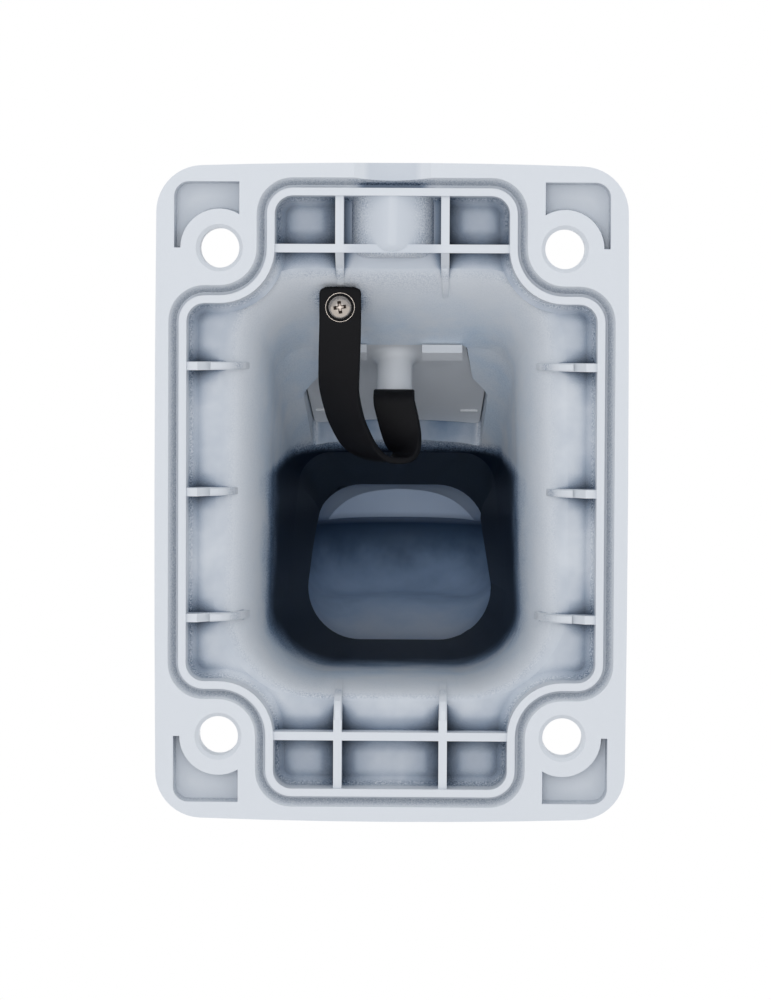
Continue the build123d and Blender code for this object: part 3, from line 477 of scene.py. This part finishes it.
# %% Moulded ABS
mould_texture, bump_height = 0.0006, 0.0001
cover_plastic, tree = new_material("moulded_abs")
place = add_node(tree, "ShaderNodeTexCoord").outputs["Object"]
grain = add_node(tree, "ShaderNodeTexNoise", {
    "Vector": place, "Scale": 1 / mould_texture, "Detail": 2.0}).outputs["Fac"]
bump = add_node(tree, "ShaderNodeBump", {"Strength": 0.15, "Distance": bump_height, "Height": grain})
shader = add_node(tree, "ShaderNodeBsdfPrincipled", {
    "Base Color": linear("#DEE0E2"), "Roughness": 0.5, "IOR": 1.54, "Normal": bump})
add_node(tree, "ShaderNodeOutputMaterial", {"Surface": shader})
dress(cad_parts["hatch_cover"], cover_plastic)

# %% Moulded rubber
rubber_texture = 0.0004
strap_rubber, tree = new_material("moulded_rubber")
place = add_node(tree, "ShaderNodeTexCoord").outputs["Object"]
grain = add_node(tree, "ShaderNodeTexNoise", {
    "Vector": place, "Scale": 1 / rubber_texture, "Detail": 2.0}).outputs["Fac"]
bump = add_node(tree, "ShaderNodeBump", {"Strength": 0.2, "Distance": bump_height, "Height": grain})
shader = add_node(tree, "ShaderNodeBsdfPrincipled", {
    "Base Color": linear("#08080C"), "Roughness": 0.6, "IOR": 1.52, "Specular IOR Level": 0.15,
    "Normal": bump})
add_node(tree, "ShaderNodeOutputMaterial", {"Surface": shader})
dress(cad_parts["tether_strap"], strap_rubber)
dress(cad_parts["hatch_gasket"], strap_rubber)

# %% Nickel plating
plating_cloud, crevice_reach = 0.0008, 0.0012
nickel, tree = new_material("bright_nickel_plating")
place = add_node(tree, "ShaderNodeTexCoord").outputs["Object"]
grain = add_node(tree, "ShaderNodeTexNoise", {
    "Vector": place, "Scale": 1 / plating_cloud, "Detail": 3.0}).outputs["Fac"]
rough = add_node(tree, "ShaderNodeMapRange", {
    "Value": grain, "From Min": 0.3, "From Max": 0.7, "To Min": 0.18, "To Max": 0.32})
# Painted shade in the crevices of the plating, found by ambient occlusion
crevices = add_node(tree, "ShaderNodeAmbientOcclusion", {"Distance": crevice_reach}, samples=8)
nickel_with_crevice_shade = add_ramp(tree, crevices.outputs["AO"], [(0.0, "#2A2624"), (0.45, "#6E6661"), (0.9, "#B9B0A8")])
shader = add_node(tree, "ShaderNodeBsdfPrincipled", {
    "Base Color": nickel_with_crevice_shade, "Metallic": 1.0, "Roughness": rough})
add_node(tree, "ShaderNodeOutputMaterial", {"Surface": shader})
for name in ("hatch_screw", "strap_screw", "peg_screw", "strap_washer", "peg_washer"):
    dress(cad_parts[name], nickel)
print("finishes", cover_plastic.name, strap_rubber.name, nickel.name)

# %% [markdown]
# ## The tether strap
# A rubber strap keeps the hatch cover with the bracket. It lies flat under a screw, hangs in a
# loop that twists a fifth of a turn, and folds over the end of the cover's peg. A curve through
# a few given points gives its middle line, and a width direction is turned smoothly along it.
# A rounded flat section follows both, which keeps the strap's width true everywhere. The strap
# is laid out in mm, and MM turns it to metres when its mesh is made.

# %% Middle line and width of the strap
MM = 0.001
strap_width, strap_thickness, strap_edge_round, tab_corner = 10.0, 1.6, 0.45, 1.6
screw_tab_drops, peg_tab_runs = (9.8, 5.0), (2.0, 5.0, 10.0)
loop_start = Vector((-12.55, -11.7, -39.0))
loop_end = Vector((0.0, -32.52, -21.04))
# Share of the way, shift from the straight line in mm, turn of the width towards the wall
loop_route = [
    (0.20, -2.8, 1.7, 6.0, 10),
    (0.30, -4.1, 0.9, 9.3, 22),
    (0.40, -4.4, -0.2, 12.6, 28),
    (0.50, -4.6, -0.9, 14.3, 31),
    (0.60, -3.2, -2.3, 17.6, 36),
    (0.70, -0.6, -3.2, 18.9, 58),
    (0.80, 3.4, -3.2, 17.9, 72),
    (0.87, 4.5, -2.5, 14.7, 50),
    (0.94, 2.7, -1.3, 9.0, 18),
]
fold_radius, fold_turn, fold_steps = 2.2, 116, 6
fold_centre = loop_end + Vector((0, -fold_radius, 0))
hatch_slope = radians(26)
peg_tab_along = Vector((0, -cos(hatch_slope), sin(hatch_slope)))

stations = [(loop_start + Vector((0, 0, -drop)), 0) for drop in screw_tab_drops] + [(loop_start, 0)]
for share, x, y, z, turn in loop_route:
    stations.append((loop_start.lerp(loop_end, share) + Vector((x, y, z)), turn))
for step in range(fold_steps + 1):
    angle = radians(fold_turn * step / fold_steps)
    stations.append((fold_centre + Vector((0, fold_radius * cos(angle), -fold_radius * sin(angle))), 0))
fold_finish = stations[-1][0]
stations += [(fold_finish + peg_tab_along * run, 0) for run in peg_tab_runs]
print(len(stations), "stations along the strap")

# %% Even steps along the strap
ring_spacing, spots_per_station = 0.6, 8
middle_passes, turn_passes = 3, 22


def smooth_between(values, spot):
    """Catmull-Rom value at a spot given in stations."""
    i = min(int(spot), len(values) - 2)
    t = spot - i
    before, start = values[max(i - 1, 0)], values[i]
    end, after = values[i + 1], values[min(i + 2, len(values) - 1)]
    return (start * 2 + (end - before) * t + (before * 2 - start * 5 + end * 4 - after) * t * t
            + (start * 3 - before - end * 3 + after) * t * t * t) * 0.5


def relaxed(values, passes):
    """Draws each value towards its neighbours, which opens bends too tight for rubber."""
    for _ in range(passes):
        inner = [(a + b * 2 + c) * 0.25 for a, b, c in zip(values, values[1:], values[2:])]
        values = [values[0]] + inner + [values[-1]]
    return values


def running_lengths(points):
    runs = [0.0]
    for a, b in zip(points, points[1:]):
        runs.append(runs[-1] + (b - a).length)
    return runs


def at_even_steps(values, runs, step):
    """Values at equal steps along a line whose running lengths are given."""
    count = round(runs[-1] / step)
    even, i = [], 0
    for k in range(count + 1):
        run = runs[-1] * k / count
        while i < len(runs) - 2 and runs[i + 1] < run:
            i += 1
        even.append(values[i].lerp(values[i + 1], (run - runs[i]) / (runs[i + 1] - runs[i])))
    return even


# Turns are spaced like the middle line, and relaxed more, because rubber twists evenly
spots = [i / spots_per_station for i in range(spots_per_station * (len(stations) - 1) + 1)]
raw_middles = [smooth_between([s[0] for s in stations], spot) for spot in spots]
raw_turns = [Vector((smooth_between([float(s[1]) for s in stations], spot), 0)) for spot in spots]
raw_runs = running_lengths(raw_middles)
middles = relaxed(at_even_steps(raw_middles, raw_runs, ring_spacing), middle_passes)
turns = [pair.x for pair in relaxed(at_even_steps(raw_turns, raw_runs, ring_spacing), turn_passes)]
print("strap length", round(running_lengths(middles)[-1], 1), "mm")

# %% From rings of vertices to a mesh
def skin(shape, rings):
    """Lays a band of faces from each ring to the next. Where a ring is one point, they are triangles."""
    for ring, following in zip(rings, rings[1:]):
        for k in range(len(ring)):
            n = (k + 1) % len(ring)
            corners = list(dict.fromkeys((ring[k], ring[n], following[n], following[k])))
            if len(corners) > 2:
                shape.faces.new(corners)


def close_ends(shape, rings):
    shape.faces.new(rings[0])
    shape.faces.new(list(reversed(rings[-1])))


def finished_mesh(shape, name):
    """Turns the faces outwards and the shape into a mesh."""
    bmesh.ops.recalc_face_normals(shape, faces=shape.faces)
    mesh = bpy.data.meshes.new(name)
    shape.to_mesh(mesh)
    shape.free()
    print(name, "has", len(mesh.polygons), "faces")
    return mesh


# %% Strap mesh
def rounded_flat_section(width, thickness, edge):
    """Corner points of a flat bar with round edges, in mm."""
    points = []
    for side_x, side_y, first in ((1, 1, 0), (-1, 1, 90), (-1, -1, 180), (1, -1, 270)):
        centre_x, centre_y = side_x * (width / 2 - edge), side_y * (thickness / 2 - edge)
        for step in (0, 30, 60, 90):
            angle = radians(first + step)
            points.append((centre_x + edge * cos(angle), centre_y + edge * sin(angle)))
    return points


strap_shape = bmesh.new()
rings = []
runs = running_lengths(middles)
for i, (middle, turn) in enumerate(zip(middles, turns)):
    along = (middles[min(i + 1, len(middles) - 1)] - middles[max(i - 1, 0)]).normalized()
    width_way = Vector((cos(radians(turn)), sin(radians(turn)), 0))
    width_way = (width_way - along * width_way.dot(along)).normalized()
    thick_way = along.cross(width_way)
    from_end = min(runs[i], runs[-1] - runs[i], tab_corner)
    width_here = strap_width - 2 * (tab_corner - sqrt(tab_corner ** 2 - (tab_corner - from_end) ** 2))
    section = rounded_flat_section(width_here, strap_thickness, strap_edge_round)
    rings.append([strap_shape.verts.new((middle + width_way * x + thick_way * y) * MM) for x, y in section])
skin(strap_shape, rings)
close_ends(strap_shape, rings)
strap_mesh = finished_mesh(strap_shape, "rubber_strap")
strap_mesh.polygons.foreach_set("use_smooth", [len(p.vertices) == 4 for p in strap_mesh.polygons])
strap = add_piece("rubber_strap", strap_mesh)
dress(strap, strap_rubber)
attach(strap, "root")
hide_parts("tether_strap")

# %% [markdown]
# ## A casting with a real thread
# The CAD collar is a plain cylinder as wide as its thread. A copy of the casting gets a slimmer
# collar, and the ridge that winds round it is a Geometry Nodes spiral swept with a diamond, of
# which half stands out of the collar. The copy also gets a squarer window where the arm opens
# into the nose: rounder corners at the floor, tighter ones at the roof and steeper sides. Both
# are made by moving vertices, and the shading normals are carried over from the CAD solid.

# %% Slimmer collar
def move_vertices(mesh, place_for):
    moved = 0
    for vertex in mesh.vertices:
        place = place_for(vertex.co)
        if place is not None:
            vertex.co = place
            moved += 1
    return moved


collar_centre_y, collar_thread_top = -0.156, -0.0064
thread_root_radius, past_root, past_crest = 0.0224, 0.0220, 0.0241


def slimmer_collar(co):
    """Draws the threaded length in to the thread's root."""
    radial = Vector((co.x, co.y - collar_centre_y, 0))
    if co.z > collar_thread_top or not past_root < radial.length < past_crest:
        return None
    return Vector((0, collar_centre_y, co.z)) + radial.normalized() * thread_root_radius


# %% Squarer window
# Heights of the window's floor and roof with their half widths on the CAD solid and here, in mm
window_floor, floor_half_was, floor_half_now = 3.5, 19.1, 21.6
window_roof, roof_half_was, roof_half_now = 45.0, 28.3, 25.9
window_height = window_roof - window_floor
lean_was = atan2(roof_half_was - floor_half_was, window_height)
lean_now = atan2(roof_half_now - floor_half_now, window_height)
# Height of the edge, which way its corner turns, then half width and corner radius, before and after
window_corners = [
    (window_floor, 1, (floor_half_was, 8.5), (floor_half_now, 13.0)),
    (window_roof, -1, (roof_half_was, 15.0), (roof_half_now, 14.0)),
]
plane_slack, line_slack, turn_slack, end_gap = 0.0002, 0.3, 0.02, 0.1


def squarer_window(co):
    """Moves a point on a corner's arc to the same share of the new arc, and a side outwards."""
    if abs(co.y + window_plane) > plane_slack:
        return None
    x, z = abs(co.x) / MM, co.z / MM
    mirrored = 1 if co.x > 0 else -1
    for edge, side, (half_was, radius_was), (half_now, radius_now) in window_corners:
        turn_was, turn_now = pi / 2 - side * lean_was, pi / 2 - side * lean_now
        was_x, was_z = half_was - radius_was * tan(turn_was / 2), edge + side * radius_was
        turn = atan2(x - was_x, side * (was_z - z))
        off_arc = abs(hypot(x - was_x, was_z - z) - radius_was)
        if off_arc > line_slack or not -turn_slack < turn < turn_was + turn_slack:
            continue
        now_x, now_z = half_now - radius_now * tan(turn_now / 2), edge + side * radius_now
        turn *= turn_now / turn_was
        new_x = (now_x + radius_now * sin(turn)) * mirrored
        return Vector((new_x, co.y / MM, now_z - side * radius_now * cos(turn))) * MM
    rise = z - window_floor
    off_side = abs(x - floor_half_was - rise * tan(lean_was))
    if end_gap < rise < window_height - end_gap and off_side < line_slack:
        return Vector(((floor_half_now + rise * tan(lean_now)) * mirrored, co.y / MM, z)) * MM
    return None


print("the window's sides lean", round(degrees(lean_was), 1), "then", round(degrees(lean_now), 1), "degrees")

# %% Copy of the casting
same_place = 0.000001
cad_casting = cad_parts["bracket_casting"]
fine_mesh = cad_casting.data.copy()
fine_mesh.name = "threaded_casting"
cad_normals = fine_mesh.attributes.new("cad_normal", "FLOAT_VECTOR", "CORNER")
cad_normals.data.foreach_set("vector", [v for n in fine_mesh.corner_normals for v in n.vector])
joined = bmesh.new()
joined.from_mesh(fine_mesh)
bmesh.ops.remove_doubles(joined, verts=joined.verts, dist=same_place)
joined.to_mesh(fine_mesh)
joined.free()
in_collar = move_vertices(fine_mesh, slimmer_collar)
in_window = move_vertices(fine_mesh, squarer_window)
kept_normals = [tuple(item.vector) for item in fine_mesh.attributes["cad_normal"].data]
fine_mesh.attributes.remove(fine_mesh.attributes["cad_normal"])
fine_mesh.normals_split_custom_set(kept_normals)
casting = add_piece("threaded_casting", fine_mesh)
dress(casting, coat)
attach(casting, "root")
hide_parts("bracket_casting")
print("casting faces", len(fine_mesh.polygons))
print("vertices moved in the collar", in_collar, "and at the window", in_window)

# %% Thread ridge as a Geometry Nodes spiral
ridge_sizes = {"Middle Radius": 0.02258, "Ridge": 0.0013, "Pitch": 0.002309, "Turns": 6.8}
ridge_nodes = bpy.data.node_groups.new("thread_ridge", "GeometryNodeTree")
sockets = ridge_nodes.interface
sockets.new_socket("Geometry", in_out="INPUT", socket_type="NodeSocketGeometry")
for label, value in ridge_sizes.items():
    sockets.new_socket(label, in_out="INPUT", socket_type="NodeSocketFloat").default_value = value
sockets.new_socket("Material", in_out="INPUT", socket_type="NodeSocketMaterial")
sockets.new_socket("Geometry", in_out="OUTPUT", socket_type="NodeSocketGeometry")
given = ridge_nodes.nodes.new("NodeGroupInput").outputs
rise = add_node(ridge_nodes, "ShaderNodeMath", {0: given["Pitch"], 1: given["Turns"]}, operation="MULTIPLY")
spiral = add_node(ridge_nodes, "GeometryNodeCurveSpiral", {
    "Resolution": 72, "Rotations": given["Turns"], "Start Radius": given["Middle Radius"],
    "End Radius": given["Middle Radius"], "Height": rise})
upright = add_node(ridge_nodes, "GeometryNodeSetCurveNormal", {"Curve": spiral}, mode="Z_UP")
along = add_node(ridge_nodes, "GeometryNodeSplineParameter").outputs["Factor"]
run_in = add_node(ridge_nodes, "ShaderNodeMapRange", {
    "Value": along, "From Min": 0.0, "From Max": 0.05, "To Min": 0.15})
run_out = add_node(ridge_nodes, "ShaderNodeMapRange", {
    "Value": along, "From Min": 1.0, "From Max": 0.95, "To Min": 0.15})
taper = add_node(ridge_nodes, "ShaderNodeMath", {0: run_in, 1: run_out}, operation="MINIMUM")
diamond = add_node(ridge_nodes, "GeometryNodeCurvePrimitiveCircle", {
    "Resolution": 4, "Radius": given["Ridge"]})
ridge = add_node(ridge_nodes, "GeometryNodeCurveToMesh", {
    "Curve": upright, "Profile Curve": diamond, "Scale": taper, "Fill Caps": True})
painted = add_node(ridge_nodes, "GeometryNodeSetMaterial", {
    "Geometry": ridge, "Material": given["Material"]})
real = add_node(ridge_nodes, "GeometryNodeRealizeInstances", {"Geometry": painted})
add_node(ridge_nodes, "NodeGroupOutput", {0: real})
print("thread tree", len(ridge_nodes.nodes), "nodes")

# %% Thread ridge as a mesh
def evaluated_mesh(piece):
    """What a piece's modifiers make of it, as a plain mesh."""
    bpy.context.view_layer.update()
    return bpy.data.meshes.new_from_object(piece.evaluated_get(bpy.context.evaluated_depsgraph_get()))


thread_start = -0.0232
spiral_seed = add_piece("spiral_seed", bpy.data.meshes.new("spiral_seed"))
winding = spiral_seed.modifiers.new("thread_ridge", "NODES")
winding.node_group = ridge_nodes
for item in sockets.items_tree:
    if item.name == "Material":
        winding[item.identifier] = coat
thread_mesh = evaluated_mesh(spiral_seed)
bpy.data.objects.remove(spiral_seed)
thread_mesh.transform(Matrix.Translation((0, collar_centre_y, thread_start)))
thread = add_piece("thread_ridge", thread_mesh)
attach(thread, "root")
crest_radius = max(hypot(v.co.x, v.co.y - collar_centre_y) for v in thread_mesh.vertices)
print("thread faces", len(thread_mesh.polygons), "crest radius", round(crest_radius / MM, 2), "mm")

# %% [markdown]
# ## Rib tails
# On the real casting each rib runs on past its slope and dies out on the horn. The foot of such a
# tail follows a curved wall, so it isn't drawn by hand: a ray cast finds how deep the horn lies
# beside each tail, and the tail's crest sinks towards it.

# %% Where the rib tails lie
inside_faces = BVHTree.FromPolygons(
    [v.co for v in fine_mesh.vertices], [tuple(p.vertices) for p in fine_mesh.polygons])


def depth_under(x, z):
    """Depth of the first surface seen from the wall at a point given in mm."""
    before_wall, into_arm = Vector((x, 5.0, z)) * MM, Vector((0, -1, 0))
    return -inside_faces.ray_cast(before_wall, into_arm)[0].y / MM


# Start and end of each tail as (x, z) in mm: three on either side, two at the bottom, two on top
side_rib_x, end_rib_x = 43.0, 12.5
side_rows = [(-29.9, 34.2), (0.0, 36.8), (29.9, 34.2)]
tail_runs = [((side * side_rib_x, row), (side * end, row)) for side in (-1, 1) for row, end in side_rows]
tail_runs += [((end_rib_x, -57.2), (end_rib_x, -46.1)), ((-end_rib_x, -57.2), (-end_rib_x, -48.2))]
tail_runs += [((side * end_rib_x, 56.0), (side * end_rib_x, 45.3)) for side in (-1, 1)]
print(len(tail_runs), "rib tails")

# %% Rib tails
# Sizes in mm. A tail starts higher than the surface under it, so that it grows out of its rib.
tail_steps, crest_round, least_crest_depth = 10, 0.3, 1.6
half_at_start, half_lost = 0.97, 0.12
beside_reach, start_lift, rooted = 2.4, 2.0, 0.6
tail_shape = bmesh.new()
for start, end in tail_runs:
    run = Vector((end[0] - start[0], 0, end[1] - start[1])).normalized()
    across = Vector((run.z, 0, -run.x)) * (1 if start[0] > 0 else -1)
    rings = []
    for step in range(tail_steps + 1):
        share = step / tail_steps
        x, z = start[0] + (end[0] - start[0]) * share, start[1] + (end[1] - start[1]) * share
        beside = depth_under(x + across.x * beside_reach, z + across.z * beside_reach)
        if step == 0:
            height = beside - depth_under(x, z) + start_lift
        crest = max(least_crest_depth, beside - height * sqrt(1 - share))
        half, foot = half_at_start - half_lost * share, beside + rooted
        section = [(half, foot), (half, crest + crest_round), (half - crest_round, crest)]
        section = [(-offset, depth) for offset, depth in section] + section[::-1]
        middle = Vector((x, 0, z))
        rings.append([tail_shape.verts.new((middle + across * offset - Vector((0, depth, 0))) * MM)
                      for offset, depth in section])
    skin(tail_shape, rings)
    close_ends(tail_shape, rings)
    print("tail at", start, "height", round(height, 1), "sinks to", round(beside, 1), "mm")
tails = add_piece("rib_tails", finished_mesh(tail_shape, "rib_tails"))
dress(tails, coat)
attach(tails, "root")

# %% [markdown]
# ## Screws and washers
# A screw is turned like on a lathe: a profile of radius and height, spun about its axis. The
# cross recess is cut with a plus-shaped punch that narrows as it goes down. The washer is a
# bonded one, a thin steel ring round a black rubber face.

# %% Turned pieces
turning_steps = 56


def turned_mesh(name, profile):
    """Spins (radius, height) points in mm about Z. A point on the axis becomes one vertex, and a
    profile that comes back to its first point is closed there."""
    shape = bmesh.new()
    rings = []
    for radius, height in profile:
        if rings and (radius, height) == profile[0]:
            rings.append(rings[0])
        elif radius == 0:
            rings.append([shape.verts.new((0, 0, height * MM))] * turning_steps)
        else:
            angles = [2 * pi * k / turning_steps for k in range(turning_steps)]
            circle = [(radius * MM * cos(a), radius * MM * sin(a), height * MM) for a in angles]
            rings.append([shape.verts.new(point) for point in circle])
    skin(shape, rings)
    return finished_mesh(shape, name)


def cross_punch(reach, width, depth):
    """A plus-shaped punch that starts above a head and narrows towards its tip, in mm."""
    half, above_head, tip_share = width / 2, 0.4, 0.45
    plus, arm = [], [(half, half), (reach, half), (reach, -half)]
    for _ in range(4):
        plus += arm
        arm = [(y, -x) for x, y in arm]
    shape = bmesh.new()
    top = [shape.verts.new((x * MM, y * MM, above_head * MM)) for x, y in plus]
    tip = [shape.verts.new((x * tip_share * MM, y * tip_share * MM, -depth * MM)) for x, y in plus]
    skin(shape, [top, tip])
    close_ends(shape, [top, tip])
    return finished_mesh(shape, "cross_punch")


def place_on(seat, axis, spin):
    """A matrix that puts Z along an axis at a seat, both in the frame, after a spin about Z."""
    upright = Vector(axis).normalized().to_track_quat("Z", "Y").to_matrix().to_4x4()
    return Matrix.Translation(Vector(seat) * MM) @ upright @ Matrix.Rotation(radians(spin), 4, "Z")


print("round pieces get", turning_steps, "sides")

# %% Pan-head screws
# Edges and tip in mm, and the dome's foot, the brim and the cross as shares of the head
under_edge, tip_chamfer, tip_height = 0.15, 0.35, 0.4
dome_foot, brim_share = 0.30, 0.1
cross_reach, cross_width, cross_depth = 0.34, 0.19, 0.62


def screw_profile(radius, height, shank_radius, length):
    """Half a screw's outline from the top of its dome, with the head's underside at height 0."""
    turns = [radians(a) for a in range(0, 91, 10)]
    dome = [(radius * sin(a), height * (dome_foot + (1 - dome_foot) * cos(a))) for a in turns]
    brim = [(radius, height * brim_share), (radius - under_edge, 0), (shank_radius, 0)]
    tip = [(shank_radius, tip_height - length), (shank_radius - tip_chamfer, -length), (0, -length)]
    return dome + brim + tip


def pan_screw(name, node, seat, axis, spin, head, height, shank, length):
    """A screw with its head's underside on a seat. The last four sizes are in mm."""
    screw = add_piece(name, turned_mesh(name, screw_profile(head / 2, height, shank / 2, length)))
    punch_mesh = cross_punch(head * cross_reach, head * cross_width, height * cross_depth)
    punch_mesh.transform(Matrix.Translation((0, 0, height * MM)))
    punch = add_piece("cross_punch", punch_mesh)
    cut = screw.modifiers.new("cross_recess", "BOOLEAN")
    cut.object, cut.operation, cut.solver = punch, "DIFFERENCE", "EXACT"
    punched = evaluated_mesh(screw)
    screw.modifiers.remove(cut)
    screw.data = punched
    punched.transform(place_on(seat, axis, spin))
    punched.polygons.foreach_set("use_smooth", [True] * len(punched.polygons))
    punched.set_sharp_from_angle(angle=radians(32))
    bpy.data.objects.remove(punch)
    dress(screw, nickel)
    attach(screw, "root")
    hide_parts(node)
    return screw


wall_axis = (0, 1, 0)
peg_axis = (0, sin(hatch_slope), cos(hatch_slope))
under_cover = [-v for v in peg_axis]
strap_size = {"head": 5.6, "height": 2.2, "shank": 3.0, "length": 8.1}
cover_size = {"head": 8.0, "height": 2.6, "shank": 4.0, "length": 7.4}
screws = [
    pan_screw("cross_screw_on_boss", "strap_screw", (-12.55, -10.4, -43.9), wall_axis, 8, **strap_size),
    pan_screw("cross_screw_on_peg", "peg_screw", (0, -39.250, -19.834), peg_axis, 30, **strap_size),
    pan_screw("cross_screw_of_cover", "hatch_screw", (0, -91.802, -15.453), under_cover, 20, **cover_size),
]
print("screws", [(screw.name, len(screw.data.polygons)) for screw in screws])

# %% Bonded washers
def bonded_washer(name, node, seat, axis):
    """A washer 7 mm across with its rubber face a little lower than its steel ring, in mm."""
    hole, outside, face, ring, ring_inside, bevel = 1.75, 3.5, 0.40, 0.50, 3.3, 0.05
    rubber = [(hole, 0), (hole, face), (outside - 0.14, face)]
    steel = [(outside - 0.10, ring), (outside - 0.04, ring), (outside, ring - bevel), (outside, 0)]
    mesh = turned_mesh(name, rubber + steel + rubber[:1])
    mesh.transform(place_on(seat, axis, 0))
    washer = add_piece(name, mesh)
    mesh.materials.append(nickel)
    mesh.materials.append(strap_rubber)
    centre = Vector(seat) * MM
    along = Vector(axis).normalized()
    for polygon in mesh.polygons:
        arm = polygon.center - centre
        from_axis = (arm - along * arm.dot(along)).length
        polygon.material_index = 1 if from_axis < ring_inside * MM else 0
    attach(washer, "root")
    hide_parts(node)
    return washer


washers = [
    bonded_washer("bonded_washer_on_boss", "strap_washer", (-12.55, -10.9, -43.9), wall_axis),
    bonded_washer("bonded_washer_on_peg", "peg_washer", (0, -39.469, -20.283), peg_axis),
]
print("washers", [(washer.name, len(washer.data.polygons)) for washer in washers])
